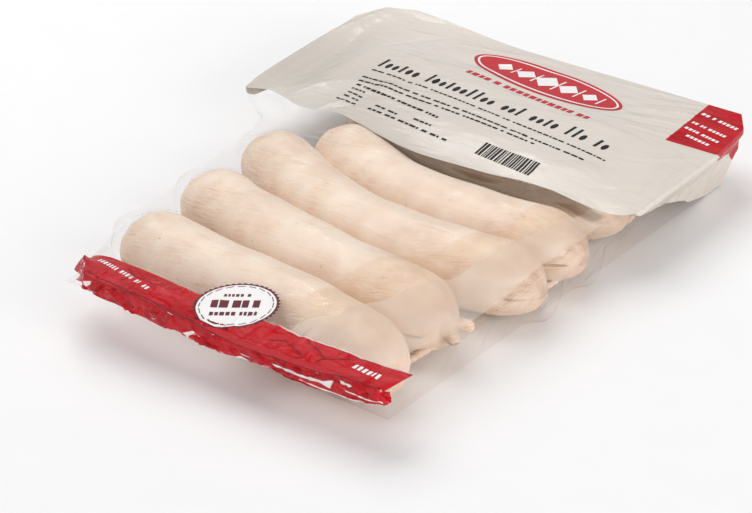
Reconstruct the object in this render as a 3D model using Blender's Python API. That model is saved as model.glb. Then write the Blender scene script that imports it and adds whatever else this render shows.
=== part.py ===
"""Sealed pack of fresh sausage links, lying flat.

Six links of one string lie side by side in a flat plastic bag. The film is drawn tight over
their tops, so the bag is a low box with a flat lid: a plain header over the last two links,
a clear window where the links show, and a band with a seal strip along the front.
The links run along X, the string is laid out along Y, and +Z is up. Units are metres.
The origin is the middle of the footprint, on the table.
"""
import math

import bmesh
import bpy

PACK = "sausage_pack"
MM = 0.001

# Heights
TABLE = 0.0
RIM_TOP = 42 * MM
RIM_EDGE = 3.5 * MM
WALL_FOLD_HEIGHT = 22 * MM
LINK_HEIGHT = 47 * MM
LINK_BASE = 0.8 * MM

# Where the zones of the lid begin and end, along Y
FRONT_FOLD = -194 * MM
BAND_BACK = -170 * MM
HEADER_FRONT = 48 * MM
BACK_EDGE = 198 * MM
FRONT_SKEW = 4 * MM
ZONE_STEP = 3 * MM

# The lid's left and right edges, as (y, x), straight between these places
LEFT_EDGE = (
    (-194 * MM, -77 * MM),
    (-172 * MM, -93 * MM),
    (-109 * MM, -109 * MM),
    (21 * MM, -114 * MM),
    (47 * MM, -126 * MM),
    (57 * MM, -141 * MM),
    (73 * MM, -146.5 * MM),
    (141 * MM, -146.5 * MM),
    (173 * MM, -142 * MM),
    (191 * MM, -130 * MM),
    (198 * MM, -112 * MM),
)
RIGHT_EDGE = (
    (-194 * MM, 127 * MM),
    (-173 * MM, 137 * MM),
    (141 * MM, 146.5 * MM),
    (181 * MM, 143 * MM),
    (198 * MM, 132 * MM),
)

# The walls lean in below the rim. Each outline's sides are straight: the front and back run
# from their left to their right end, the left and right from their front to their back end
WALL_FOLD = {
    "front": (-173 * MM, -185 * MM),
    "back": (191 * MM, 191 * MM),
    "left": (-105 * MM, -122 * MM),
    "right": (129 * MM, 135 * MM),
}
FOOTPRINT = {
    "front": (-149 * MM, -164 * MM),
    "back": (179 * MM, 179 * MM),
    "left": (-92 * MM, -104 * MM),
    "right": (114 * MM, 130 * MM),
}

# The film sags between the links in the clear window, and is lower along its left edge
WINDOW_SAG = 8 * MM
WINDOW_RAMP = 30 * MM
LEFT_DROP = 7 * MM
LEFT_DROP_REACH = 40 * MM
BAND_RISE = 1 * MM

# The header rises over the two links under it, whose tops lie along these rows
HEADER_RISE = 6.5 * MM
HEADER_SIDE_RAMP = (8 * MM, 55 * MM)
HEADER_END_RAMP = 40 * MM
HIDDEN_LINK_ROWS = (80 * MM, 140 * MM)
HIDDEN_LINK_RELIEF = 1.2 * MM
HIDDEN_LINK_REACH = 20 * MM

# A valley runs beside the header's left rim, and its back left corner curls up
HEADER_VALLEY = 4 * MM
VALLEY_AT = 22 * MM
VALLEY_REACH = 11 * MM
VALLEY_END_RAMP = 30 * MM
CORNER_CURL = 6 * MM
CURL_ACROSS = 90 * MM
CURL_ALONG = 60 * MM

# The links that rise above the clear window, front to back: the two ends of the axis,
# how far the middle bows and leans to one end, and the width
LINKS = (
    {"left": (-104 * MM, -108 * MM), "right": (111 * MM, -159 * MM), "bow": 4 * MM, "lean": -5 * MM,
     "width": 49 * MM},
    {"left": (-106 * MM, -42 * MM), "right": (108 * MM, -96 * MM), "bow": -9 * MM, "lean": -3 * MM,
     "width": 49 * MM},
    {"left": (-106 * MM, 23 * MM), "right": (129 * MM, -25 * MM), "bow": -31 * MM, "lean": 0 * MM,
     "width": 48 * MM},
    {"left": (-72 * MM, 47 * MM), "right": (128 * MM, 23 * MM), "bow": -23 * MM, "lean": -2 * MM,
     "width": 47 * MM},
)
LINK_CAP = 30 * MM
LINK_CAP_TURN = math.pi * 0.28
LINK_LEAN_SCALE = 10.4
LINK_SWELL = 0.03
LINK_SWELLS = 2.5
LINK_SIDES = 28
LINK_RINGS = 36

# Seal strip that hangs from the front fold, longest near its right end
SEAL_LEFT = -79 * MM
SEAL_RIGHT = 131 * MM
SEAL_HEIGHT = 8.5 * MM
SEAL_DROOP = 4.5 * MM
SEAL_DROOP_AT = 98 * MM
SEAL_DROOP_REACH = 45 * MM
SEAL_WAVE = 0.8 * MM
SEAL_WAVES = 7.5
SEAL_THICKNESS = 2 * MM
SEAL_OUTSET = 0.6 * MM
SEAL_TOP = RIM_TOP - 0.6 * MM
SEAL_END = 0.06
SEAL_COLUMNS = 24

# Film grid: rows in each zone and columns across
BAND_ROWS = 4
WINDOW_ROWS = 18
HEADER_ROWS = 16
COLUMNS = 30

SHARP_ANGLE = math.radians(35)


def clear_scene():
    for existing in list(bpy.data.objects):
        bpy.data.objects.remove(existing, do_unlink=True)


def new_collection(name):
    collection = bpy.data.collections.new(name)
    bpy.context.scene.collection.children.link(collection)
    return collection


def add_object(name, mesh_builder, collection):
    mesh = bpy.data.meshes.new(name)
    mesh_builder.to_mesh(mesh)
    mesh_builder.free()
    new_object = bpy.data.objects.new(name, mesh)
    collection.objects.link(new_object)
    return new_object


def blend(start, end, amount):
    return start + (end - start) * amount


def smooth_step(low, high, value):
    amount = min(max((value - low) / (high - low), 0.0), 1.0)
    return amount * amount * (3.0 - 2.0 * amount)


def bell(value, middle, reach):
    return math.exp(-((value - middle) / reach) ** 2)


def edge_at(edge, y):
    """The x of an outline's side at y, straight between its corner places."""
    for (start_y, start_x), (end_y, end_x) in zip(edge, edge[1:]):
        if y <= end_y:
            return blend(start_x, end_x, max(y - start_y, 0.0) / (end_y - start_y))
    return edge[-1][1]


def row_places():
    """The y of each row of the film grid, with a narrow step where a zone changes."""
    zones = (
        (FRONT_FOLD, BAND_BACK - ZONE_STEP, BAND_ROWS),
        (BAND_BACK + ZONE_STEP, HEADER_FRONT - ZONE_STEP, WINDOW_ROWS),
        (HEADER_FRONT + ZONE_STEP, BACK_EDGE, HEADER_ROWS),
    )
    places = []
    for start, end, rows in zones:
        places += [blend(start, end, row / rows) for row in range(rows + 1)]
    return places


def film_height(x, y):
    """Height of the taut film: it is level at the rim and rides over the links."""
    from_left = x - edge_at(LEFT_EDGE, y)
    from_side = min(from_left, edge_at(RIGHT_EDGE, y) - x)
    from_back = BACK_EDGE - y
    from_end = min(y - FRONT_FOLD, from_back)
    header = smooth_step(HEADER_FRONT - ZONE_STEP, HEADER_FRONT + ZONE_STEP, y)
    band = 1.0 - smooth_step(BAND_BACK - ZONE_STEP, BAND_BACK + ZONE_STEP, y)
    window = 1.0 - header - band
    inward = smooth_step(0.0, WINDOW_RAMP, from_side)
    low_side = 1.0 - smooth_step(0.0, LEFT_DROP_REACH, from_left)
    height = RIM_TOP + band * BAND_RISE * inward
    height -= window * (WINDOW_SAG * inward + LEFT_DROP * low_side * (1.0 - inward))
    over_links = smooth_step(*HEADER_SIDE_RAMP, from_side) * smooth_step(0.0, HEADER_END_RAMP, from_end)
    rows = sum(bell(y, row, HIDDEN_LINK_REACH) for row in HIDDEN_LINK_ROWS)
    height += header * over_links * (HEADER_RISE + HIDDEN_LINK_RELIEF * (rows - 0.5))
    valley = bell(from_left, VALLEY_AT, VALLEY_REACH) * smooth_step(0.0, VALLEY_END_RAMP, from_end)
    height -= header * HEADER_VALLEY * valley
    near_left = 1.0 - smooth_step(0.0, CURL_ACROSS, from_left)
    near_back = 1.0 - smooth_step(0.0, CURL_ALONG, from_back)
    return height + CORNER_CURL * near_left * near_back


def shape_ring(shares, outline, height):
    """Move a copy of the rim to a lower outline, keeping each point's share of the way."""
    for vert, (across, along) in shares.items():
        left = blend(*outline["left"], along)
        right = blend(*outline["right"], along)
        front = blend(*outline["front"], across)
        back = blend(*outline["back"], across)
        vert.co = (blend(left, right, across), blend(front, back, along), height)


def lower_rim(bm, edges, shares):
    """Extrude the open border once, and return its new edges and their points' shares."""
    result = bmesh.ops.extrude_edge_only(bm, edges=edges)
    new_verts = [item for item in result["geom"] if isinstance(item, bmesh.types.BMVert)]
    new_edges = [item for item in result["geom"] if isinstance(item, bmesh.types.BMEdge)]
    new_shares = {}
    for vert in new_verts:
        source = next(edge.other_vert(vert) for edge in vert.link_edges
                      if edge.other_vert(vert) in shares)
        new_shares[vert] = shares[source]
    return new_edges, new_shares


def build_bag(collection):
    """The bag as one closed body: lid film, upright edge, leaning walls and flat bottom."""
    rows = row_places()
    bm = bmesh.new()
    bmesh.ops.create_grid(bm, x_segments=COLUMNS, y_segments=len(rows) - 1, size=1.0)
    shares = {}
    for vert in bm.verts:
        across = (vert.co.x + 1.0) / 2.0
        row = round((vert.co.y + 1.0) / 2.0 * (len(rows) - 1))
        y = rows[row]
        along = (y - FRONT_FOLD) / (BACK_EDGE - FRONT_FOLD)
        x = blend(edge_at(LEFT_EDGE, y), edge_at(RIGHT_EDGE, y), across)
        skew = FRONT_SKEW * (1.0 - 2.0 * across) * (1.0 - along) ** 6
        vert.co = (x, y + skew, film_height(x, y))
        shares[vert] = (across, along)
    rim = [edge for edge in bm.edges if edge.is_boundary]
    edges, shares = lower_rim(bm, rim, shares)
    for vert in shares:
        vert.co.z -= RIM_EDGE
    edges, shares = lower_rim(bm, edges, shares)
    shape_ring(shares, WALL_FOLD, WALL_FOLD_HEIGHT)
    edges, shares = lower_rim(bm, edges, shares)
    shape_ring(shares, FOOTPRINT, TABLE)
    bmesh.ops.edgeloop_fill(bm, edges=edges)
    bmesh.ops.recalc_face_normals(bm, faces=bm.faces)
    return add_object(PACK, bm, collection)


def link_length(link):
    (left_x, left_y), (right_x, right_y) = link["left"], link["right"]
    return math.hypot(right_x - left_x, right_y - left_y)


def link_axis(link, share):
    """A point on a link's axis, and the direction to its side, at a share of its length."""
    (left_x, left_y), (right_x, right_y) = link["left"], link["right"]
    length = link_length(link)
    side_x = -(right_y - left_y) / length
    side_y = (right_x - left_x) / length
    arch = share * (1.0 - share)
    offset = link["bow"] * 4.0 * arch + link["lean"] * LINK_LEAN_SCALE * arch * (1.0 - 2.0 * share)
    x = blend(left_x, right_x, share) + side_x * offset
    y = blend(left_y, right_y, share) + side_y * offset
    return x, y, side_x, side_y


def link_profile(turn, length):
    """Share of the length and relative radius for a ring, from a pole angle of 0 to pi."""
    cap_share = LINK_CAP / length
    if turn < LINK_CAP_TURN:
        angle = turn / LINK_CAP_TURN * math.pi / 2.0
        return cap_share * (1.0 - math.cos(angle)), math.sin(angle)
    if turn > math.pi - LINK_CAP_TURN:
        share, radius = link_profile(math.pi - turn, length)
        return 1.0 - share, radius
    middle = (turn - LINK_CAP_TURN) / (math.pi - 2.0 * LINK_CAP_TURN)
    return blend(cap_share, 1.0 - cap_share, middle), 1.0


def build_link(number, link, collection):
    """One plump link: a sphere drawn out along its bowed axis, with round ends."""
    length = link_length(link)
    middle = LINK_BASE + LINK_HEIGHT / 2.0
    bm = bmesh.new()
    bmesh.ops.create_uvsphere(bm, u_segments=LINK_SIDES, v_segments=LINK_RINGS, radius=1.0)
    for vert in bm.verts:
        turn = math.acos(min(max(-vert.co.z, -1.0), 1.0))
        around = math.atan2(vert.co.y, vert.co.x)
        share, radius = link_profile(turn, length)
        x, y, side_x, side_y = link_axis(link, share)
        swell = 1.0 + LINK_SWELL * math.sin(2.0 * math.pi * LINK_SWELLS * share + number)
        reach = link["width"] / 2.0 * radius * swell * math.cos(around)
        rise = LINK_HEIGHT / 2.0 * min(radius * swell, 1.0) * math.sin(around)
        vert.co = (x + side_x * reach, y + side_y * reach, middle + rise)
    bmesh.ops.recalc_face_normals(bm, faces=bm.faces)
    return add_object(f"link_{number}", bm, collection)


def build_seal(collection):
    """The crimped strip: a flat bar cut into columns, waved and drawn down to its droop."""
    bm = bmesh.new()
    bmesh.ops.create_cube(bm, size=1.0)
    long_edges = [edge for edge in bm.edges
                  if abs(edge.verts[0].co.x - edge.verts[1].co.x) > 0.5]
    bmesh.ops.subdivide_edges(bm, edges=long_edges, cuts=SEAL_COLUMNS - 1, use_grid_fill=True)
    for vert in bm.verts:
        across = vert.co.x + 0.5
        hang = 0.5 - vert.co.z
        x = blend(SEAL_LEFT, SEAL_RIGHT, across)
        ends = smooth_step(0.0, SEAL_END, across) * smooth_step(0.0, SEAL_END, 1.0 - across)
        drop = SEAL_HEIGHT + SEAL_DROOP * bell(x, SEAL_DROOP_AT, SEAL_DROOP_REACH)
        bottom = SEAL_TOP - drop * blend(0.5, 1.0, ends)
        fold = FRONT_FOLD + FRONT_SKEW * (1.0 - 2.0 * across)
        wave = SEAL_WAVE * math.sin(2.0 * math.pi * SEAL_WAVES * across) * hang
        y = fold + vert.co.y * SEAL_THICKNESS + SEAL_OUTSET + wave
        vert.co = (x, y, blend(SEAL_TOP, bottom, hang))
    bmesh.ops.recalc_face_normals(bm, faces=bm.faces)
    return add_object("seal_strip", bm, collection)


def join_all(body, tools):
    """Fuse everything in the tool collection into the body, then remove the tools."""
    union = body.modifiers.new("join", "BOOLEAN")
    union.operation = "UNION"
    union.operand_type = "COLLECTION"
    union.collection = tools
    union.solver = "EXACT"
    bpy.context.view_layer.update()
    evaluated = body.evaluated_get(bpy.context.evaluated_depsgraph_get())
    joined = bpy.data.meshes.new_from_object(evaluated)
    body.modifiers.remove(union)
    old_mesh = body.data
    body.data = joined
    bpy.data.meshes.remove(old_mesh)
    for tool in list(tools.objects):
        bpy.data.objects.remove(tool, do_unlink=True)
    bpy.data.collections.remove(tools)
    joined.name = PACK


def film_material():
    material = bpy.data.materials.new("clear film over pale casing")
    material.use_nodes = True
    shader = material.node_tree.nodes["Principled BSDF"]
    shader.inputs["Base Color"].default_value = (0.80, 0.66, 0.54, 1.0)
    shader.inputs["Roughness"].default_value = 0.25
    shader.inputs["Metallic"].default_value = 0.0
    return material


def main():
    clear_scene()
    pack_collection = new_collection(PACK)
    tools = new_collection("pieces_to_join")
    bag = build_bag(pack_collection)
    for number, link in enumerate(LINKS, start=1):
        build_link(number, link, tools)
    build_seal(tools)
    join_all(bag, tools)
    bag.data.materials.clear()
    bag.data.materials.append(film_material())
    bag.data.shade_smooth()
    bag.data.set_sharp_from_angle(angle=SHARP_ANGLE)


main()
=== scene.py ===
# %% [markdown]
# # A string of fresh sausage links in a sealed film pack
# The real thing is a string of six plump links laid side by side in a flat bag. The bag's film is
# drawn tight over them. It is printed white over the back of the pack, clear in the middle so that
# the links show, and red along the front, where the bag ends in a crimped seal.
# The lesson builds it from the inside out: the links, the twisted casing that joins them, the film
# that lies over them, then the print and the finishes. Sizes are in millimetres, and are turned
# into metres only where a piece gets its points.
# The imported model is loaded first. It is one plain solid, and everything here takes its place.

import math

import bpy
import numpy as np
from mathutils import Matrix, Vector


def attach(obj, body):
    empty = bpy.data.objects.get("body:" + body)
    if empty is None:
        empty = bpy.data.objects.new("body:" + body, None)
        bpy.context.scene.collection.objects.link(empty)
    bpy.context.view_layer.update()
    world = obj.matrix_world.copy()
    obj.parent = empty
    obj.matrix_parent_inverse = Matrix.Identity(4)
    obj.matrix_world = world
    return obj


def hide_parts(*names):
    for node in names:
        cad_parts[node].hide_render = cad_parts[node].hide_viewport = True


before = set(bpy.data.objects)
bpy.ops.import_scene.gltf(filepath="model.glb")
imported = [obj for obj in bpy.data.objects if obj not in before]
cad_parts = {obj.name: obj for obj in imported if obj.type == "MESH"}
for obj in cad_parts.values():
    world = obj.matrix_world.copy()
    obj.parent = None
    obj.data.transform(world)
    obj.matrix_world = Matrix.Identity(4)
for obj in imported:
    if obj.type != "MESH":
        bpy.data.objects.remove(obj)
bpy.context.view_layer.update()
PACK_NODE = "sausage_pack"
BODY = "root"
MM = 0.001

# %% [markdown]
# ## Small helpers
# Operators act on whatever is selected, so each step first clears the selection and then picks
# its own piece. Shapes are blended with a few short functions that work on whole arrays, because
# the film has tens of thousands of points.
# Three starts come back again and again: an empty curve with a round section, a flat grid whose
# points are sent to places worked out for them, and a modifier that is applied at once.

# %% Helpers for selecting and for blending numbers
def clear_selection():
    if bpy.context.object and bpy.context.object.mode != "OBJECT":
        bpy.ops.object.mode_set(mode="OBJECT")
    bpy.ops.object.select_all(action="DESELECT")


def pick(piece):
    clear_selection()
    piece.select_set(True)
    bpy.context.view_layer.objects.active = piece


def name_new(name):
    piece = bpy.context.object
    piece.name = name
    piece.data.name = name
    return piece


def settle(piece):
    """Move the object's place and size into its mesh."""
    pick(piece)
    bpy.ops.object.transform_apply(location=True, rotation=True, scale=True)


def blend(start, end, amount):
    return start + (end - start) * amount


def smooth_step(low, high, value):
    amount = np.clip((value - low) / (high - low), 0.0, 1.0)
    return amount * amount * (3.0 - 2.0 * amount)


def bell(value, middle, reach):
    return np.exp(-((value - middle) / reach) ** 2)


def apply_modifier(piece, kind, settings):
    """Add a modifier with its settings and apply it at once."""
    pick(piece)
    bpy.ops.object.modifier_add(type=kind)
    modifier = piece.modifiers[-1]
    for name, value in settings.items():
        setattr(modifier, name, value)
    bpy.ops.object.modifier_apply(modifier=modifier.name)


def add_curve(name, radius, sides):
    """An empty curve whose splines get a round section and closed ends. The radius is that of
    a point of radius 1, in millimetres."""
    clear_selection()
    bpy.ops.curve.primitive_nurbs_path_add(location=(0, 0, 0))
    piece = name_new(name)
    piece.data.splines.clear()
    piece.data.bevel_depth = radius * MM
    piece.data.bevel_resolution = sides
    piece.data.use_fill_caps = True
    return piece


def add_grid(name, columns, rows):
    """A flat grid, with each of its points' column from the left and row from the top."""
    clear_selection()
    bpy.ops.mesh.primitive_grid_add(x_subdivisions=columns, y_subdivisions=rows, size=2.0)
    piece = name_new(name)
    flat = read_points(piece)
    column = np.rint((flat[:, 0] + 1.0) / 2.0 * columns).astype(int)
    row = np.rint((1.0 - flat[:, 1]) / 2.0 * rows).astype(int)
    return piece, column, row


def turn_faces_outwards():
    """Make all faces of the piece in edit mode point outwards, and leave edit mode."""
    bpy.ops.mesh.select_all(action="SELECT")
    bpy.ops.mesh.normals_make_consistent(inside=False)
    bpy.ops.object.mode_set(mode="OBJECT")


def read_points(piece):
    points = np.empty(len(piece.data.vertices) * 3)
    piece.data.vertices.foreach_get("co", points)
    return points.reshape(-1, 3)


def write_points(piece, points):
    piece.data.vertices.foreach_set("co", np.asarray(points, dtype=float).ravel())
    piece.data.update()


def write_attribute(piece, name, values):
    attribute = piece.data.attributes.new(name, "FLOAT", "POINT")
    attribute.data.foreach_set("value", np.asarray(values, dtype=np.float32))


print("helpers ready")

# %% [markdown]
# ## The camera
# The photo looks down on the pack from its front right corner, from about 30 degrees above the
# table. A long lens from two metres away keeps the pack's sides almost parallel, as they are in
# the photo. The picture is 752 pixels wide, and 0.6 mm of the pack falls on each of them.

# %% Add the camera
IMAGE_WIDTH, IMAGE_HEIGHT = 752, 513
VIEW_AZIMUTH = math.radians(34.5)
VIEW_ELEVATION = math.radians(29.5)
VIEW_DISTANCE = 2000 * MM
PIXEL_SIZE = 0.6 * MM
VIEW_POINT = Vector((6, 6.5, 25)) * MM
VIEW_PIXEL = (400, 205)
SENSOR_WIDTH = 36.0

towards_camera = Vector((
    math.sin(VIEW_AZIMUTH) * math.cos(VIEW_ELEVATION),
    -math.cos(VIEW_AZIMUTH) * math.cos(VIEW_ELEVATION),
    math.sin(VIEW_ELEVATION),
))
camera_right = Vector((math.cos(VIEW_AZIMUTH), math.sin(VIEW_AZIMUTH), 0.0))
camera_up = towards_camera.cross(camera_right)
right_of_centre = (VIEW_PIXEL[0] - IMAGE_WIDTH / 2) * PIXEL_SIZE
above_centre = (IMAGE_HEIGHT / 2 - VIEW_PIXEL[1]) * PIXEL_SIZE
camera_place = VIEW_POINT + towards_camera * VIEW_DISTANCE
camera_place -= camera_right * right_of_centre + camera_up * above_centre
camera_turn = Matrix((camera_right, camera_up, towards_camera)).transposed().to_euler()
bpy.ops.object.camera_add(location=camera_place, rotation=camera_turn)
camera = bpy.context.object
camera.name = "camera"
camera.data.sensor_width = SENSOR_WIDTH
camera.data.lens = SENSOR_WIDTH * VIEW_DISTANCE / PIXEL_SIZE / IMAGE_WIDTH
camera.data.clip_end = 20.0
bpy.context.scene.camera = camera
print("lens, millimetres:", round(camera.data.lens, 1))

# %% [markdown]
# ## The shape of a link
# A fresh link is a soft tube of meat in natural casing. It is round in section, as thick in the
# middle as near its ends, and closes in a short round cap that puckers into a twist. Its axis
# bows, because the string is bent to fit the bag.
# A curve with a bevel is the quickest way to make it: the points follow the axis, and each
# point's radius gives the thickness there. It is turned into a mesh once its points are in place.
# The numbers are millimetres: both ends of the axis, how far it bows and leans, and the width.
# Each of the barrel's waves has a size, a count along the link, and a shift from link to link.

# %% Where the six links lie
LINKS = (
    {"left": (-104, -108), "right": (111, -159), "bow": 4, "lean": -5, "width": 49},
    {"left": (-106, -42), "right": (108, -96), "bow": -9, "lean": -3, "width": 49},
    {"left": (-106, 23), "right": (129, -25), "bow": -31, "lean": 0, "width": 48},
    {"left": (-74, 56), "right": (128, 23), "bow": -27, "lean": -2, "width": 47},
    {"left": (-92, 108), "right": (121, 82), "bow": -19, "lean": 2, "width": 48},
    {"left": (-100, 155), "right": (117, 126), "bow": -17, "lean": -3, "width": 48},
)
LINK_WIDTH = 49.0
LINK_HEIGHT = 46.6
LINK_BASE = 0.9
LINK_MIDDLE = LINK_BASE + LINK_HEIGHT / 2
CAP_LENGTH = 30.0
CAP_POWER = 2.15
NECK_RADIUS = 2.6
BARREL_WAVES = ((0.016, 2.3, 1.9), (0.008, 5.1, 4.1))


def link_axis(link, share):
    """Points on the axis, and the level direction across it, at shares of its length."""
    left, right = np.array(link["left"], float), np.array(link["right"], float)
    run = right - left
    across = np.array((-run[1], run[0])) / np.hypot(*run)
    arch = 4.0 * share * (1.0 - share)
    swing = 2.6 * arch * (1.0 - 2.0 * share)
    offset = link["bow"] * arch + link["lean"] * swing
    points = left + np.outer(share, run) + np.outer(offset, across)
    return points, across


def link_radius(link, number, share):
    """Radius along the link: a round cap at each end, and a barrel with slow waves between."""
    left, right = np.array(link["left"], float), np.array(link["right"], float)
    length = np.hypot(*(right - left))
    from_end = np.minimum(share, 1.0 - share) * length
    inside_cap = np.clip(1.0 - from_end / CAP_LENGTH, 0.0, 1.0)
    round_cap = np.sqrt(np.clip(1.0 - inside_cap ** CAP_POWER, 0.0, 1.0))
    waves = np.zeros(len(share))
    for size, count, shift in BARREL_WAVES:
        waves += size * np.sin(2 * np.pi * count * share + number * shift)
    return np.maximum(link["width"] / 2 * round_cap * (1.0 + waves), NECK_RADIUS)


print("links:", len(LINKS))

# %% [markdown]
# The points are close together near the ends, where the cap turns quickly. One curve object
# holds all six links, because they are one string.

# %% Draw the six links as one curve and turn it into a mesh
LINK_SIDES = 30
STATIONS = 120
EVEN_SHARE = 0.35
crowded = (1.0 - np.cos(np.linspace(0.0, math.pi, STATIONS))) / 2.0
station_shares = blend(crowded, np.linspace(0.0, 1.0, STATIONS), EVEN_SHARE)

string_of_links = add_curve("sausage_links", 1.0, LINK_SIDES)
for number, link in enumerate(LINKS):
    places, across = link_axis(link, station_shares)
    radii = link_radius(link, number, station_shares)
    spline = string_of_links.data.splines.new("POLY")
    spline.points.add(STATIONS - 1)
    for point, place, radius in zip(spline.points, places, radii):
        point.co = (place[0] * MM, place[1] * MM, 0.0, 1.0)
        point.radius = radius
pick(string_of_links)
bpy.ops.object.convert(target="MESH")
print("link points:", len(string_of_links.data.vertices))

# %% [markdown]
# Now each point of the mesh is told where it is on its link: how far from the nearest end, how
# far along, and at which angle around. The puckers at the ends and the finish of the casing both
# need that. Then the round section is pressed a little flat, because the links lie on a table
# under tight film, and short folds are drawn in around the twisted ends.

# %% Shape the casing
PUCKER_COUNT = 9
PUCKER_REACH = 10.0
PUCKER_DEPTH = 1.7
END_DROOP = 5.0
DROOP_REACH = 9.0
FLAT_BELOW = 1.5
NEXT_LINK = 400.0
BATCH = 4000

points = read_points(string_of_links) / MM
shaped = points.copy()
end_distance = np.zeros(len(points))
along_link = np.zeros(len(points))
around_link = np.zeros(len(points))
nearest = np.full(len(points), 1e9)
for number, link in enumerate(LINKS):
    fine_shares = np.linspace(0.0, 1.0, 400)
    places, across = link_axis(link, fine_shares)
    steps = np.hypot(*np.diff(places, axis=0).T)
    lengths = np.concatenate(([0.0], np.cumsum(steps)))
    for start in range(0, len(points), BATCH):
        part = slice(start, start + BATCH)
        gaps = points[part, None, :2] - places[None, :, :]
        distance = np.hypot(gaps[..., 0], gaps[..., 1])
        closest = distance.argmin(axis=1)
        shortest = distance.min(axis=1)
        mine = shortest < nearest[part]
        offsets = gaps[np.arange(len(closest)), closest]
        side = offsets @ across
        for table, values in (
            (along_link, lengths[closest] + number * NEXT_LINK),
            (end_distance, np.minimum(lengths[closest], lengths[-1] - lengths[closest])),
            (around_link, np.arctan2(points[part, 2], side)),
        ):
            table[part] = np.where(mine, values, table[part])
        nearest[part] = np.where(mine, shortest, nearest[part])
pucker = PUCKER_DEPTH * np.exp(-end_distance / PUCKER_REACH)
pucker *= np.cos(around_link * PUCKER_COUNT + np.sin(along_link * 0.3))
shaped[:, 2] *= LINK_HEIGHT / LINK_WIDTH
squeeze = 1.0 + pucker / 25.0
droop = END_DROOP * np.exp(-end_distance / DROOP_REACH)
shaped[:, 2] = shaped[:, 2] * squeeze + LINK_MIDDLE - droop
shaped[:, 2] = np.maximum(shaped[:, 2], LINK_BASE + 0.6 * (shaped[:, 2] - LINK_BASE - FLAT_BELOW))
shaped[:, 2] = np.clip(shaped[:, 2], LINK_BASE, None)
write_points(string_of_links, shaped * MM)
write_attribute(string_of_links, "end_distance", end_distance)
write_attribute(string_of_links, "along_link", along_link)
write_attribute(string_of_links, "around_link", around_link)
print("link height, millimetres:", round(float(shaped[:, 2].max()), 1))

# %% [markdown]
# Hand-filled links are never quite even. A soft cloud pattern in a Displace modifier gives the
# barrel shallow hollows and bulges, and the modifier is applied at once.

# %% Make the links uneven
HOLLOW_SIZE = 38
HOLLOW_DEPTH = 1.5
uneven = bpy.data.textures.new("uneven_filling", "CLOUDS")
uneven.noise_scale = HOLLOW_SIZE * MM
uneven.noise_depth = 1
apply_modifier(string_of_links, "DISPLACE", {
    "texture": uneven, "texture_coords": "LOCAL", "strength": HOLLOW_DEPTH * MM, "mid_level": 0.55,
})
bpy.ops.object.shade_smooth()
links_top = read_points(string_of_links)[:, 2].max() / MM
print("highest point of the links, millimetres:", round(float(links_top), 1))

# %% [markdown]
# ## Twisted casing between the links
# Where one link ends and the next begins, the empty casing is twisted into a short cord. The
# string runs back and forth, so these twists lie at the sides of the pack, in turn right and
# left. Each is a thin curve with a knot-like swelling near the link, turned into a mesh and
# ridged by a spiral, as twisted casing is.

# %% Twist the casing between neighbouring links
TWISTS = (
    ((108, -157, 15), (96, -148, 5), (90, -129, 3.5), (93, -110, 5), (104, -98, 15)),
    ((-106, -42, 18), (-106, -30, 14), (-105, -10, 12), (-105, 10, 14), (-106, 23, 18)),
    ((127, -25, 17), (116, -16, 6), (110, -1, 3.5), (114, 14, 6), (126, 23, 17)),
    ((-74, 56, 19), (-80, 62, 14), (-88, 76, 12), (-92, 94, 14), (-92, 108, 19)),
    ((120, 82, 17), (112, 92, 6), (108, 104, 3.5), (110, 118, 6), (116, 126, 17)),
)
TWIST_RADIUS = 1.9
TWIST_SIDES = 5
TWIST_STEPS = 16
TWIST_PITCH = 5.0
TWIST_RIDGE = 0.35
KNOT_SWELL = 1.5
TWIST_END_DISTANCE = 6.0

casing_twists = add_curve("casing_twists", TWIST_RADIUS, TWIST_SIDES)
casing_twists.data.resolution_u = TWIST_STEPS
for places in TWISTS:
    spline = casing_twists.data.splines.new("NURBS")
    spline.points.add(len(places) - 1)
    for index, (point, place) in enumerate(zip(spline.points, places)):
        point.co = (place[0] * MM, place[1] * MM, place[2] * MM, 1.0)
        point.radius = KNOT_SWELL if index in (0, len(places) - 1) else 1.0
    spline.order_u = 4
    spline.use_endpoint_u = True
pick(casing_twists)
bpy.ops.object.convert(target="MESH")
twist_points = read_points(casing_twists) / MM
angle = twist_points[:, 1] * 2 * math.pi / TWIST_PITCH + twist_points[:, 2] * 1.3
twist_points[:, 0] += TWIST_RIDGE * np.cos(angle)
twist_points[:, 2] += TWIST_RIDGE * np.sin(angle)
write_points(casing_twists, twist_points * MM)
bpy.ops.object.shade_smooth()
write_attribute(casing_twists, "end_distance", np.full(len(twist_points), TWIST_END_DISTANCE))
write_attribute(casing_twists, "along_link", twist_points[:, 1])
write_attribute(casing_twists, "around_link", twist_points[:, 0] * 0.1)
print("twists:", len(TWISTS))

# %% [markdown]
# Two short nubs of bunched casing stand out of the second link's right end, where it was tied
# off. Each is a short thick curve: its points get thinner towards the tip, which closes in a
# round end, and a slight waist lies near the root.

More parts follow.
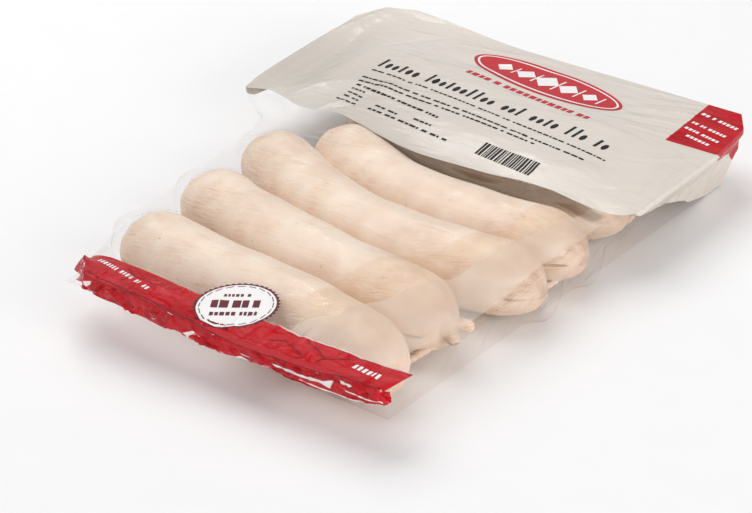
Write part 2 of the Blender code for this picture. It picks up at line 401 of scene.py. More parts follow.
# %% Add the two nubs of bunched casing
NUBS = (
    ((104, -88, 23), (119, -85, 22), 5.0, 3.4),
    ((106, -96, 21), (118, -101, 20), 5.2, 3.2),
)
NUB_STEPS = 16
NUB_SIDES = 8
NUB_CENTRE = (-90.0, 19.0)
NUB_END_DISTANCE = 11.0
nubs = []
for number, (root, tip, root_radius, tip_radius) in enumerate(NUBS, start=1):
    nub = add_curve(f"casing_nub_{number}", 1.0, NUB_SIDES)
    spline = nub.data.splines.new("POLY")
    spline.points.add(NUB_STEPS - 1)
    for index, point in enumerate(spline.points):
        share = index / (NUB_STEPS - 1)
        place = Vector(root).lerp(Vector(tip), share) * MM
        round_end = math.sqrt(max(1.0 - max((share - 0.75) / 0.25, 0.0) ** 2, 0.0))
        waist = 1.0 - 0.18 * math.exp(-((share - 0.35) / 0.18) ** 2)
        point.co = (*place, 1.0)
        point.radius = max(blend(root_radius, tip_radius, share) * round_end * waist, 0.2)
    pick(nub)
    bpy.ops.object.convert(target="MESH")
    nubs.append(nub)
clear_selection()
for nub in nubs:
    nub.select_set(True)
bpy.context.view_layer.objects.active = nubs[0]
bpy.ops.object.join()
casing_nubs = name_new("casing_nubs")
bpy.ops.object.shade_smooth()
nub_points = read_points(casing_nubs) / MM
write_attribute(casing_nubs, "end_distance", np.full(len(nub_points), NUB_END_DISTANCE))
write_attribute(casing_nubs, "along_link", nub_points[:, 0])
nub_turn = np.arctan2(nub_points[:, 2] - NUB_CENTRE[1], nub_points[:, 1] - NUB_CENTRE[0])
write_attribute(casing_nubs, "around_link", nub_turn)
print("nubs:", len(NUBS))

# %% [markdown]
# ## The film bag
# The bag is one closed skin. Its lid is the part that shows most, and it can't be drawn by hand:
# tight film takes the shape that its edges and the links under it give it. So the lid starts as
# a flat grid, laid out to the bag's outline, and its heights are then worked out. Each point
# takes the mean height of its neighbours, less a little because the air was drawn out of the
# bag, but it never goes below the link under it. Repeated many times, this gives tight film.

# %% The outline of the lid
FRONT_FOLD = -192.8
BACK_EDGE = 198.0
HEADER_FRONT = 48.0
BAND_BACK = -170.0
FRONT_SKEW = 3.4
RIM_TOP = 42.0
LEFT_EDGE = np.array((
    (-194, -77), (-172, -93), (-109, -109), (21, -114), (42, -122), (50, -138), (55, -144.5),
    (73, -146.4), (141, -146.4), (173, -142), (191, -130), (198, -112),
), float)
RIGHT_EDGE = np.array((
    (-194, 127), (-173, 137), (141, 146.4), (181, 143), (198, 132),
), float)
LID_COLUMNS = 190
LID_ROWS = 260


def left_edge(y):
    return np.interp(y, LEFT_EDGE[:, 0], LEFT_EDGE[:, 1])


def right_edge(y):
    return np.interp(y, RIGHT_EDGE[:, 0], RIGHT_EDGE[:, 1])


column_shares = np.linspace(0, 1, LID_COLUMNS + 1)
row_shares = np.linspace(0, 1, LID_ROWS + 1)
across_share, along_share = np.meshgrid(column_shares, row_shares)
lid_y = blend(FRONT_FOLD, BACK_EDGE, along_share)
lid_x = blend(left_edge(lid_y), right_edge(lid_y), across_share)
print("lid points:", lid_x.size)

# %% [markdown]
# The height that the film may not go below is the top of the links. It is found by looking
# straight down at the links from each point of the lid.

# %% Find the tops of the links under the lid
LOOK_FROM = 100.0
link_tops = np.full(lid_x.shape, -1.0)
for index in np.ndindex(lid_x.shape):
    eye = Vector((lid_x[index], lid_y[index], LOOK_FROM)) * MM
    found, spot, facing_way, face = string_of_links.ray_cast(eye, Vector((0.0, 0.0, -1.0)))
    if found:
        link_tops[index] = spot.z / MM
print("links touch the film up to, millimetres:", round(float(link_tops.max()), 1))

# %% [markdown]
# Around its edge the lid is held by the bag's walls, which stand 42 mm high. The printed header
# is stiffer: its left rim is a rounded bead, and its back left corner curls up.

# %% Draw the film tight
FILM_GAP = 0.5
SUCTION = 0.016
TIGHTEN_STEPS = 2600
LEFT_DROP = 7.0
FRONT_SAG = 3.2
CORNER_CURL = 6.0

from_left = lid_x - left_edge(lid_y)
from_right = right_edge(lid_y) - lid_x
from_back = BACK_EDGE - lid_y
from_front = lid_y - FRONT_FOLD
in_header = smooth_step(HEADER_FRONT - 6.0, HEADER_FRONT + 6.0, lid_y)
in_band = 1.0 - smooth_step(BAND_BACK - 4.0, BAND_BACK + 4.0, lid_y)
in_window = 1.0 - in_header - in_band
curl = (1.0 - smooth_step(0.0, 90.0, from_left)) * (1.0 - smooth_step(0.0, 60.0, from_back))
rim_height = RIM_TOP + CORNER_CURL * curl
rim_height = rim_height - LEFT_DROP * in_window * (1.0 - smooth_step(0.0, 40.0, from_left))
near_front = 1.0 - smooth_step(0.0, 30.0, from_front)
rim_height = rim_height - FRONT_SAG * bell(lid_x, 18.0, 52.0) * near_front
obstacle = np.where(link_tops > 0.0, link_tops + FILM_GAP, -1.0)
suction = SUCTION * in_window * smooth_step(-138.0, -118.0, lid_y)
lid_z = np.maximum(rim_height, obstacle)
for step in range(TIGHTEN_STEPS):
    mean = (lid_z[:-2, 1:-1] + lid_z[2:, 1:-1] + lid_z[1:-1, :-2] + lid_z[1:-1, 2:]) / 4.0
    lid_z[1:-1, 1:-1] = np.maximum(mean - suction[1:-1, 1:-1], obstacle[1:-1, 1:-1])
print("film height, millimetres:", round(float(lid_z.min()), 1), "to", round(float(lid_z.max()), 1))

# %% [markdown]
# Real film isn't smooth: it is folded, pinched and stretched. Each crease is a ridge or a valley
# along a straight run, given by its two ends, its width and its height in millimetres. The sharp
# ones are folds that were pressed in when the bag was sealed, and the soft ones are tension.
# The red band is crumpled all over, so its folds are drawn at random, from a fixed seed.

# %% Fold the creases into the lid
SOFT_CREASES = (
    (-128, 70, -128, 165, 9, -3.2),
    (-108, 66, -104, 150, 8, 1.0),
    (-144, 66, -144, 150, 3.0, 1.6),
    (-143, 150, -128, 188, 3.0, 1.6),
    (128, 124, 137, 58, 2.6, 0.9),
    (134, 128, 142, 62, 1.8, -0.7),
    (-60, 150, 20, 186, 8, -0.9),
    (-20, 100, 60, 74, 9, 0.7),
    (62, 58, 100, 84, 6, -0.7),
    (-76, 64, -52, 128, 7, -0.8),
)
SHARP_CREASES = (
    (-84, -187, 126, -190, 1.8, -1.2),
    (74, 165, 112, 180, 1.6, 0.9), (74, 158, 114, 173, 1.5, -0.9), (74, 151, 112, 164, 1.6, 0.8),
    (74, 174, 104, 188, 1.6, -0.8), (72, 181, 106, 192, 1.5, 0.9), (76, 146, 110, 155, 1.4, -0.8),
    (40, 190, 100, 196, 1.6, 0.8), (80, 139, 118, 146, 1.4, 0.8), (76, 168, 108, 178, 1.2, 0.8),
    (60, 122, 72, 128, 1.5, 1.0), (52, 128, 66, 131, 1.3, -0.9), (-6, 96, 10, 101, 1.4, 0.8),
    (-48, 112, -40, 128, 1.6, 0.8), (30, 86, 52, 92, 1.4, 0.7),
    (-89, 58, -79, 72, 2.2, 1.1), (-84, 57, -72, 68, 1.6, -0.8),
    (-118, 66, -96, 98, 2.2, 0.6), (-126, 72, -112, 120, 2.4, -0.6),
    (116, 110, 138, 128, 1.8, 0.7), (104, 60, 132, 76, 1.8, -0.5), (96, 96, 128, 112, 1.6, -0.4),
    (-132, 84, -128, 160, 2.6, -0.5), (-70, 176, -10, 192, 1.8, 0.5),
    (-100, 150, -70, 186, 2.0, -0.5),
)


def crease_at(middle_x, middle_y, half, lean, width, height):
    """A crease given by its middle, half its length and its lean."""
    run_x, run_y = half * math.cos(lean), half * math.sin(lean)
    return (middle_x - run_x, middle_y - run_y, middle_x + run_x, middle_y + run_y, width, height)


def crease_shape(x, y, crease, sharp):
    """Height added by a crease: a tent or a bell across it, fading at both ends."""
    start_x, start_y, end_x, end_y, width, height = crease
    run = np.array((end_x - start_x, end_y - start_y), float)
    length = np.hypot(*run)
    run /= length
    along = (x - start_x) * run[0] + (y - start_y) * run[1]
    off = np.abs((y - start_y) * run[0] - (x - start_x) * run[1])
    past_end = np.maximum(np.maximum(-along, along - length), 0.0)
    fade = np.exp(-(past_end / (width * 1.5)) ** 2)
    inside = np.clip(np.minimum(along, length - along) / (0.25 * length), 0.0, 1.0)
    fade = fade * (0.35 + 0.65 * inside)
    profile = np.clip(1.0 - off / width, 0.0, 1.0) if sharp else np.exp(-(off / width) ** 2)
    return height * profile * fade


HIGHEST_FILM = 48.6
CRIMP_SEED = 21
CRIMP_COUNT = 150
crimp_random = np.random.default_rng(CRIMP_SEED)
crimps = []
for number in range(CRIMP_COUNT):
    middle_x = crimp_random.uniform(-92, 132)
    middle_y = crimp_random.uniform(-196, -172)
    lean = crimp_random.normal(1.2, 0.5)
    half = crimp_random.uniform(3, 9)
    width = crimp_random.uniform(1.6, 4.5)
    height = crimp_random.uniform(-0.75, 0.75)
    crimps.append(crease_at(middle_x, middle_y, half, lean, width, height))
film_z = lid_z.copy()
from_edge = np.minimum(np.minimum(from_left, from_right), np.minimum(from_back, from_front))
held = smooth_step(0.0, 4.0, from_edge)
for crease in SOFT_CREASES:
    film_z += crease_shape(lid_x, lid_y, crease, sharp=False)
for crease in SHARP_CREASES + tuple(crimps):
    film_z += crease_shape(lid_x, lid_y, crease, sharp=True) * np.clip(held + 0.3, 0.0, 1.0)
near_tops = link_tops.copy()
for step, axis in ((1, 0), (-1, 0), (1, 1), (-1, 1)):
    near_tops = np.maximum(near_tops, np.roll(link_tops, step, axis))
film_z = np.where(near_tops > 0.0, np.maximum(film_z, near_tops + FILM_GAP / 2), film_z)
film_z = np.minimum(film_z, HIGHEST_FILM)
print("creases:", len(SOFT_CREASES) + len(SHARP_CREASES) + len(crimps))

# %% [markdown]
# ## Where the print lies
# The film is printed flat, before it is made into a bag. So each point of the film is given its
# place on the unfolded film: on the lid that is its place seen from above, and on the walls it is
# the rim's place plus the way down. The printed fields are outlines on that flat film. What each
# point keeps is its distance to each outline, positive inside. A finish can draw a crisp edge
# from such a distance, however coarse the mesh is.

# %% Outlines of the printed fields on the flat film, in millimetres
WHITE_FIELD = (
    (-188, 150), (-152, 54), (-143.5, 54.4), (-139.6, 58.3), (-136.1, 61), (-132.4, 63.3),
    (-127.7, 63.3), (-122, 61.9), (-115.8, 59.8), (-107.9, 56.3), (-100, 54.8), (-87, 54.4),
    (-74.5, 55.5), (-58, 49.5), (-39.7, 43.5), (-20, 41), (-4, 41), (20, 43), (45.8, 44.5),
    (66, 47.2), (87.8, 47.7), (102, 46.4), (116, 45.9), (136.3, 46.4), (141.3, 48.5), (146, 52),
    (188, 150), (200, 250), (-200, 250),
)
RED_BAND = (
    (-97, -159.5), (-80, -162), (-68, -164.5), (-44, -167), (-17.4, -169.7), (19.3, -172),
    (45, -174.5), (63.3, -176), (83.8, -176.5), (108, -175.5), (131, -174.2), (137, -173.5),
    (135, -184), (131, -203), (-99, -203), (-99, -160),
)
RED_TAG = (
    (112.1, 137.8), (130, 140), (145.8, 141.4), (160, 160), (162, 185), (162, 222), (107.5, 222),
)
CREAM_EDGE = 0.9
CREAM_RUN = (36.0, 136.0)
BELOW_CREAM = -190.0
FAR_OUTSIDE = -9.0
print("printed fields:", 3)

# %% [markdown]
# The clear film has its own fields. Along the right rim it lies double, and its haze and a painted
# sheen make it pale there, with a tan strip at the very edge. Over the right ends of the links it is
# a little warm. Behind the fourth link it hangs loose over a dark gap, and the gap's shadow is
# painted on it as a dull brown layer, with two darker painted spots.

# %% Outlines of the fields on the clear film
# Painted shadow: the dark gap behind the fourth link, and its two darker spots.
GAP_SHADOW_FIELD = (
    (-29, 49), (-18, 48), (0, 48), (22, 42), (39, 43), (53, 44), (65, 47),
    (83, 47), (96, 49), (117, 45), (128, 42), (124, 33), (109, 33), (93, 30),
    (78, 26), (65, 26), (49, 27), (35, 28), (23, 24), (6, 28), (-8, 31), (-18, 37),
)
GAP_SHADOW_SPOTS = (
    ((24, 38), (38, 40), (56, 40), (51, 34), (39, 32)),
    ((96, 37), (106, 43), (119, 39), (114, 33), (103, 33)),
)
AMBER_FIELD = (
    (125, -106), (127, -70), (127, -36), (126, 10), (123, 62),
    (130, 64), (132, 10), (134, -40), (133, -114),
)
WARM_FIELD = (
    (26, -180), (32.5, -155.2), (44.7, -145.3), (50.7, -126.5), (45, -118), (46.7, -102.2),
    (52.8, -92), (60, -75), (68.9, -60.8), (75.8, -48.4), (84, -30), (89, -5), (97, 48),
    (146, 48), (140, -180),
)
# Where the film lies double: haze, and a painted sheen.
HAZE_AND_SHEEN_FIELD = (
    (55, -180), (57.5, -161.3), (71.4, -149.3), (74.9, -124), (82.2, -105.9), (89.7, -93),
    (91.6, -80.5), (96.3, -50.3), (102.4, -42), (105.2, -26.2), (103.2, -6.6), (112.4, 15.7),
    (116, 48), (131, 48), (128, 0), (126, -60), (124, -120), (120, -180),
)
PLAIN_FIELDS = {"warm_film": WARM_FIELD, "haze_and_sheen_film": HAZE_AND_SHEEN_FIELD, "amber_film": AMBER_FIELD}
print("fields on the clear film:", len(PLAIN_FIELDS) + 1)

# %% [markdown]
# The distance to an outline is the distance to its nearest side. Whether a point is inside is
# found by counting how many sides a level line from it crosses.
# The cream edge is the red band's outline moved outwards by less than a millimetre. Two more
# numbers tell the finish what lies under the film: over_link goes from 0 to 1 where a link is
# near, and loose is the film's height over the link, which limits the painted shadow to the gap.

# %% Distances to the fields
def field_distance(x, y, outline):
    """Distance from each point to a closed outline, positive inside it and negative outside."""
    starts = np.array(outline, float)
    ends = np.roll(starts, -1, axis=0)
    nearest = np.full(x.shape, 1e9)
    inside = np.zeros(x.shape, bool)
    for start, end in zip(starts, ends):
        run = end - start
        share = np.clip(((x - start[0]) * run[0] + (y - start[1]) * run[1]) / (run @ run), 0.0, 1.0)
        gap = np.hypot(x - start[0] - share * run[0], y - start[1] - share * run[1])
        nearest = np.minimum(nearest, gap)
        crosses = (start[1] > y) != (end[1] > y)
        meets = start[0] + (y - start[1]) / (run[1] if run[1] else 1.0) * run[0]
        inside ^= crosses & (x < meets)
    return np.where(inside, nearest, -nearest)


def write_print(piece, flat_x, flat_y, way_down, over_link, loose):
    """Give each point its distances to the fields, its way below the rim, and what it lies on."""
    red_band = field_distance(flat_x, flat_y, RED_BAND)
    white = field_distance(flat_x, flat_y, WHITE_FIELD)
    cream = CREAM_EDGE * smooth_step(35.0, 60.0, flat_x) + red_band
    on_edge = (flat_x > CREAM_RUN[0]) & (flat_x < CREAM_RUN[1]) & (flat_y > BELOW_CREAM)
    cream = np.where(on_edge, cream, FAR_OUTSIDE)
    write_attribute(piece, "white_print", np.maximum(white, cream))
    write_attribute(piece, "red_print", np.maximum(red_band, field_distance(flat_x, flat_y, RED_TAG)))
    for name, outline in PLAIN_FIELDS.items():
        write_attribute(piece, name, field_distance(flat_x, flat_y, outline))
    # The painted shadow over the gap, and its darker spots.
    write_attribute(piece, "gap_shadow", np.minimum(field_distance(flat_x, flat_y, GAP_SHADOW_FIELD), loose))
    spots = np.maximum(*[field_distance(flat_x, flat_y, spot) for spot in GAP_SHADOW_SPOTS])
    write_attribute(piece, "gap_shadow_spots", spots)
    write_attribute(piece, "way_down", way_down)
    write_attribute(piece, "over_link", over_link)


print("field helpers ready")

# %% [markdown]
# The grid gives the lid's faces, and each of its points is sent to its own place in the arrays
# by its row and column. Film counts as loose once it is 2.5 mm over a link.

# %% Lay the grid over the pack
LOOSE_GAP = 2.5

film_bag, column, row = add_grid("film_bag", LID_COLUMNS, LID_ROWS)
row = LID_ROWS - row
skewed_y = lid_y + FRONT_SKEW * (1.0 - 2.0 * across_share) * (1.0 - along_share) ** 6
lid_points = np.stack((lid_x, skewed_y, film_z), axis=-1)
write_points(film_bag, lid_points[row, column] * MM)
over_link = smooth_step(4.0, 24.0, link_tops)
loose = (film_z - link_tops - LOOSE_GAP) / 2.0
at_rim = np.zeros(len(row))
write_print(film_bag, lid_x[row, column], skewed_y[row, column], at_rim,
            over_link[row, column], loose[row, column])
print("lid faces:", len(film_bag.data.polygons))

# %% [markdown]
# ## The walls and the bottom
# The walls hang from the rim, lean in under it and end on the flat bottom. They are a second
# grid, wrapped once around the lid's border, so that the two share their points. Where a link
# would come through the film, the film is pushed out to its side.

# %% Hang the walls from the rim
WALL_ROWS = 16
RIM_EDGE = 3.5
WALL_FOLD_HEIGHT = 22.0
WALL_FOLD = {"front": (-173, -185), "back": (191, 191), "left": (-105, -122), "right": (129, 135)}
FOOTPRINT = {"front": (-149, -164), "back": (179, 179), "left": (-92, -104), "right": (114, 130)}
WALL_WRINKLE = 0.7
STIFFENING = 0.7

border_rows = np.concatenate((
    np.zeros(LID_COLUMNS, int), np.arange(LID_ROWS),
    np.full(LID_COLUMNS, LID_ROWS), np.arange(LID_ROWS, 0, -1), [0],
))
border_columns = np.concatenate((
    np.arange(LID_COLUMNS), np.full(LID_ROWS, LID_COLUMNS),
    np.arange(LID_COLUMNS, 0, -1), np.zeros(LID_ROWS, int), [0],
))
BORDER_POINTS = len(border_rows) - 1
rim = lid_points[border_rows, border_columns]
rim_across = across_share[border_rows, border_columns]
rim_along = along_share[border_rows, border_columns]


def ring_at(outline, height):
    """The border's points moved to a lower outline, each at its own share of the way."""
    left = blend(outline["left"][0], outline["left"][1], rim_along)
    right = blend(outline["right"][0], outline["right"][1], rim_along)
    front = blend(outline["front"][0], outline["front"][1], rim_across)
    back = blend(outline["back"][0], outline["back"][1], rim_across)
    x = blend(left, right, rim_across)
    y = blend(front, back, rim_along)
    return np.stack((x, y, np.full(len(x), height)), axis=-1)


edge_ring = rim - np.array((0.0, 0.0, RIM_EDGE))
fold_ring = ring_at(WALL_FOLD, WALL_FOLD_HEIGHT)
foot_ring = ring_at(FOOTPRINT, 0.0)
wall_shares = np.linspace(0.0, 1.0, WALL_ROWS + 1)
EDGE_SHARE, FOLD_SHARE = 0.125, 0.5
wall_points = np.empty((WALL_ROWS + 1, BORDER_POINTS + 1, 3))
for index, share in enumerate(wall_shares):
    if share <= EDGE_SHARE:
        wall_points[index] = blend(rim, edge_ring, share / EDGE_SHARE)
    elif share <= FOLD_SHARE:
        part = (share - EDGE_SHARE) / (FOLD_SHARE - EDGE_SHARE)
        wall_points[index] = blend(edge_ring, fold_ring, part)
    else:
        wall_points[index] = blend(fold_ring, foot_ring, (share - FOLD_SHARE) / (1.0 - FOLD_SHARE))
print("wall points:", wall_points.shape[0] * wall_points.shape[1])

# %% [markdown]
# A loose wall has fine upright gathers, strongest halfway down, which three waves of different
# length make. Where the print stiffens the film they are weaker. Then the links push the wall
# out, wherever it would cut into one.

# %% Wrinkle the walls and push them clear of the links
FILM_CLEARANCE = 1.3


def push_clear(points):
    """Move points that are inside a link outwards, level, until they are clear of it."""
    for number, link in enumerate(LINKS):
        shares = np.linspace(0.0, 1.0, 160)
        places, across = link_axis(link, shares)
        radii = link_radius(link, number, shares)
        relative = np.clip((points[:, 2] - LINK_MIDDLE) / (LINK_HEIGHT / 2), -1.0, 1.0)
        level = np.sqrt(1.0 - relative ** 2)
        for place, radius in zip(places, radii):
            offset = points[:, :2] - place
            distance = np.hypot(offset[:, 0], offset[:, 1])
            reach = radius * level + FILM_CLEARANCE * (level > 0.15)
            inside = distance < reach
            scale = np.where(inside, reach / np.maximum(distance, 0.01), 1.0)
            points[:, :2] = place + offset * scale[:, None]
    return points


hang = np.sin(np.clip(wall_shares, 0.0, 1.0) * math.pi)[:, None]
turn = np.linspace(0.0, 2 * math.pi, BORDER_POINTS + 1)[None, :]
ripple = np.sin(turn * 61.0 + 2.0 * hang) + 0.7 * np.sin(turn * 97.0 + 1.0) + 0.5 * np.sin(turn * 23.0)
outward = wall_points[..., :2] / np.linalg.norm(wall_points[..., :2], axis=-1, keepdims=True)
stiff_print = 1.0 - STIFFENING * smooth_step(56.0, 90.0, rim[:, 1])[None, :]
wall_points[..., :2] += outward * (WALL_WRINKLE * ripple * hang * stiff_print)[..., None]
inner_rows = wall_points[1:-1].reshape(-1, 3)
wall_points[1:-1] = push_clear(inner_rows).reshape(WALL_ROWS - 1, BORDER_POINTS + 1, 3)
wall_points[:, -1] = wall_points[:, 0]
print("walls wrinkled")

# %% [markdown]
# On the walls, the place on the unfolded film is the rim's place plus the way down, out to the
# side that the wall stands on.

# %% Build the walls and give them their print
ON_WALLS = -9.0
film_walls, column, row = add_grid("film_walls", BORDER_POINTS, WALL_ROWS)
write_points(film_walls, wall_points[row, column] * MM)
way_down = np.linalg.norm(np.diff(wall_points, axis=0), axis=-1)
way_down = np.concatenate((np.zeros((1, BORDER_POINTS + 1)), np.cumsum(way_down, axis=0)))
side_x = (border_columns == LID_COLUMNS) * 1.0 - (border_columns == 0) * 1.0
side_y = (border_rows == LID_ROWS) * 1.0 - (border_rows == 0) * 1.0
flat_x = rim[:, 0] + side_x * way_down
flat_y = rim[:, 1] + side_y * way_down
no_link = np.zeros(len(row))
write_print(film_walls, flat_x[row, column], flat_y[row, column], way_down[row, column],
            no_link, no_link + ON_WALLS)
print("wall faces:", len(film_walls.data.polygons))

# %% [markdown]
# The two grids are joined and their doubled points merged. The one open border left is the
# outline of the bottom, which a single flat face closes. Then all faces are turned outwards.

# %% Close the bag
clear_selection()
film_walls.select_set(True)
film_bag.select_set(True)
bpy.context.view_layer.objects.active = film_bag
bpy.ops.object.join()
bpy.ops.object.mode_set(mode="EDIT")
bpy.ops.mesh.select_all(action="SELECT")
bpy.ops.mesh.remove_doubles(threshold=0.02 * MM)
bpy.ops.mesh.select_all(action="DESELECT")
bpy.ops.mesh.select_mode(type="EDGE")
bpy.ops.mesh.select_non_manifold(
    extend=False, use_wire=False, use_multi_face=False, use_non_contiguous=False, use_verts=False)
bpy.ops.mesh.edge_face_add()
turn_faces_outwards()
bpy.ops.object.shade_smooth_by_angle(angle=math.radians(50))
print("bag faces:", len(film_bag.data.polygons))

# %% [markdown]
# ## The crimped seal
# Along the front the bag's film is folded down and sealed into a strip about 12 mm deep. It is
# printed red like the band above it, and the heat has crumpled it. The strip hangs from the
# front rim and goes round both of its corners, further round the left one than the right. First
# comes the line that it hangs from, with the way along it and the way out from the bag.

# %% Follow the front rim round its corners
STRIP_COLUMNS, STRIP_ROWS = 440, 26
LEFT_RUN, CORNER_CUT = 30.0, -174.0
RIGHT_RUN = 9.0
END_DROP = 5.0

left_side = (lid_y[:, 0] > CORNER_CUT) & (lid_y[:, 0] < FRONT_FOLD + LEFT_RUN)
right_side = lid_y[:, -1] < FRONT_FOLD + RIGHT_RUN
corner_rows = np.flatnonzero(left_side)[::-1]
far_rows = np.flatnonzero(right_side)[1:]
strip_path = np.concatenate((lid_points[corner_rows, 0], lid_points[0, :], lid_points[far_rows, -1]))
path_steps = np.linalg.norm(np.diff(strip_path[:, :2], axis=0), axis=1)
path_length = np.concatenate(([0.0], np.cumsum(path_steps)))
strip_length = path_length[-1]
strip_along = np.linspace(0.0, strip_length, STRIP_COLUMNS + 1)
strip_top = np.empty((STRIP_COLUMNS + 1, 3))
for axis in range(3):
    strip_top[:, axis] = np.interp(strip_along, path_length, strip_path[:, axis])
strip_top[:, 2] -= END_DROP * smooth_step(strip_length - 9.0, strip_length, strip_along)
strip_run = np.gradient(strip_top[:, :2], axis=0)
strip_run /= np.linalg.norm(strip_run, axis=1, keepdims=True)
strip_out = np.stack((strip_run[:, 1], -strip_run[:, 0]), axis=-1)
print("strip length, millimetres:", round(float(strip_length), 1))

# %% [markdown]
# The strip's depth changes along the way. Towards the right its upper part is still smooth film,
# down to a seam 3.4 mm below the rim, and only what is below the seam is crumpled. The folds are
# pressed in as in the lid: short and steep round the left corner, long and level further on.

# %% Hang the crumpled strip
STRIP_DEPTH = np.array((
    (-96, 9.5), (-78, 9.5), (-62, 11.0), (-44, 10.0), (-20, 12.0), (-6, 11.5), (14, 12.0),
    (38, 11.5), (58, 13.0), (84, 14.0), (108, 13.5), (119, 12.0), (126, 10.5), (129, 9.0),
    (131, 6.5), (132.5, 3.0),
), float)
STRIP_LIFT = 0.5
STRIP_BELLY = 0.9
LEFT_FLARE, FLARE_REACH = 8.0, 24.0
STRIP_FOLD_COUNT = 190
STRIP_SEED = 5
LONG_FOLDS_FROM = 120.0
SEAM_DROP = 3.4
SEAM_STARTS, SEAM_ENDS = (105.0, 150.0), (196.0, 222.0)
STRIP_FRONT = -198.1
FILM_THICKNESS = 0.16

strip_depth = np.interp(strip_top[:, 0], STRIP_DEPTH[:, 0], STRIP_DEPTH[:, 1])
strip_depth += 0.6 * np.sin(strip_along * 0.11) + 0.3 * np.sin(strip_along * 0.29 + 1.0)

down_share = np.linspace(0.0, 1.0, STRIP_ROWS + 1)[:, None]
strip_down = down_share * strip_depth[None, :]
strip_s = np.repeat(strip_along[None, :], STRIP_ROWS + 1, axis=0)
seam_share = smooth_step(*SEAM_STARTS, strip_s) * (1.0 - smooth_step(*SEAM_ENDS, strip_s))
seam_down = SEAM_DROP * seam_share
below_seam = strip_down - seam_down
strip_random = np.random.default_rng(STRIP_SEED)
bulge = np.zeros_like(strip_down)
for number in range(STRIP_FOLD_COUNT):
    middle_s = strip_random.uniform(0, strip_length)
    middle_d = strip_random.uniform(0, 14)
    is_long = middle_s > LONG_FOLDS_FROM
    lean = strip_random.normal(0.1, 0.25 if is_long else 0.9)
    half = strip_random.uniform(3, 16) if is_long else strip_random.uniform(2, 7)
    width = strip_random.uniform(0.7, 1.9)
    height = strip_random.uniform(-1.1, 1.1)
    fold = crease_at(middle_s, middle_d, half, lean, width, height)
    bulge += crease_shape(strip_s, strip_down, fold, sharp=True)
flare = LEFT_FLARE * down_share * (1.0 - smooth_step(0.0, FLARE_REACH, strip_along))[None, :]
belly = STRIP_BELLY * np.sin(down_share * math.pi * 0.8)
hang_out = STRIP_LIFT + belly + bulge * smooth_step(0.0, 2.0, below_seam) + flare
strip_points = np.empty((STRIP_ROWS + 1, STRIP_COLUMNS + 1, 3))
strip_points[..., :2] = strip_top[None, :, :2] + strip_out[None] * hang_out[..., None]
strip_points[..., 2] = strip_top[None, :, 2] + 0.2 - strip_down
strip_points[..., 1] = np.maximum(strip_points[..., 1], STRIP_FRONT + FILM_THICKNESS)
print("folds in the strip:", STRIP_FOLD_COUNT)

# %% [markdown]
# At a few places the strip shows thin white slivers: the film's bare white back where an edge or
# corner has turned over, and painted highlights along its folds.
# Each place is an outline on the strip: millimetres along it, and down from the rim. Then a
# Solidify modifier gives the strip the thickness of two films.

# %% Build the strip
# White slivers: the film's turned-over white back, and painted highlights along the folds.
TURNED_CORNERS_AND_GLINTS = (
    ((33.0, 3.4), (38.5, 1.8), (38.0, 4.0), (33.5, 7.5)),
    ((106, 9.0), (113, 5.0), (114.5, 6.0), (109.5, 9.8), (109.0, 12.5)),
    ((140, 11.4), (147, 9.8), (153, 11.0), (147, 12.2)),
    ((168, 7.4), (190, 8.0), (209, 7.0), (209.5, 8.0), (191, 9.3), (170, 8.4)),
    ((186, 12.0), (215, 12.4), (243, 10.4), (243.5, 11.3), (216, 13.5), (188, 12.9)),
    ((200, 8.2), (211, 4.6), (208.5, 10.6), (204, 9.6)),
    ((214, 3.0), (224, 3.2), (222, 4.6), (216, 4.6)),
    ((218, 8.0), (242, 7.6), (242.5, 8.3), (219, 8.8)),
)
seal_strip, column, row = add_grid("seal_strip", STRIP_COLUMNS, STRIP_ROWS)
write_points(seal_strip, strip_points[row, column] * MM)
turned = np.full(strip_s.shape, FAR_OUTSIDE)
for corner in TURNED_CORNERS_AND_GLINTS:
    turned = np.maximum(turned, field_distance(strip_s, strip_down, corner))
write_attribute(seal_strip, "turned_corner_and_glint", turned[row, column])
write_attribute(seal_strip, "below_seam", below_seam[row, column])
apply_modifier(seal_strip, "SOLIDIFY", {"thickness": FILM_THICKNESS * MM, "offset": -1.0})
bpy.ops.object.mode_set(mode="EDIT")
turn_faces_outwards()
bpy.ops.object.shade_smooth_by_angle(angle=math.radians(40))
print("strip faces:", len(seal_strip.data.polygons))

# %% [markdown]
# ## The small print
# The header carries rows of black print, a red emblem and a block of stripes, and the band
# carries a round badge. They are made of bars, pills, dashes, stripes and ovals. Each piece of
# print is a set of flat planes, cut into small faces and dropped straight down on the film by a
# Shrinkwrap modifier, which leaves them a hair above it. Ink that overlaps other ink lies a
# tenth of a millimetre higher, so that no two faces share a place.

# %% Helpers that lay small print on the film
PRINT_HEIGHT = 60.0
FIRST_INK, SECOND_INK, THIRD_INK = 0.12, 0.22, 0.32


def bar(x, y, length, width, angle=0.0):
    """A flat bar: its middle, size and turn, in millimetres and radians."""
    return {"sides": 4, "place": (x, y), "size": (length, width), "angle": angle}


def oval(x, y, length, width, angle=0.0, sides=72):
    """A filled oval, with the same numbers as a bar."""
    return {"sides": sides, "place": (x, y), "size": (length, width), "angle": angle}


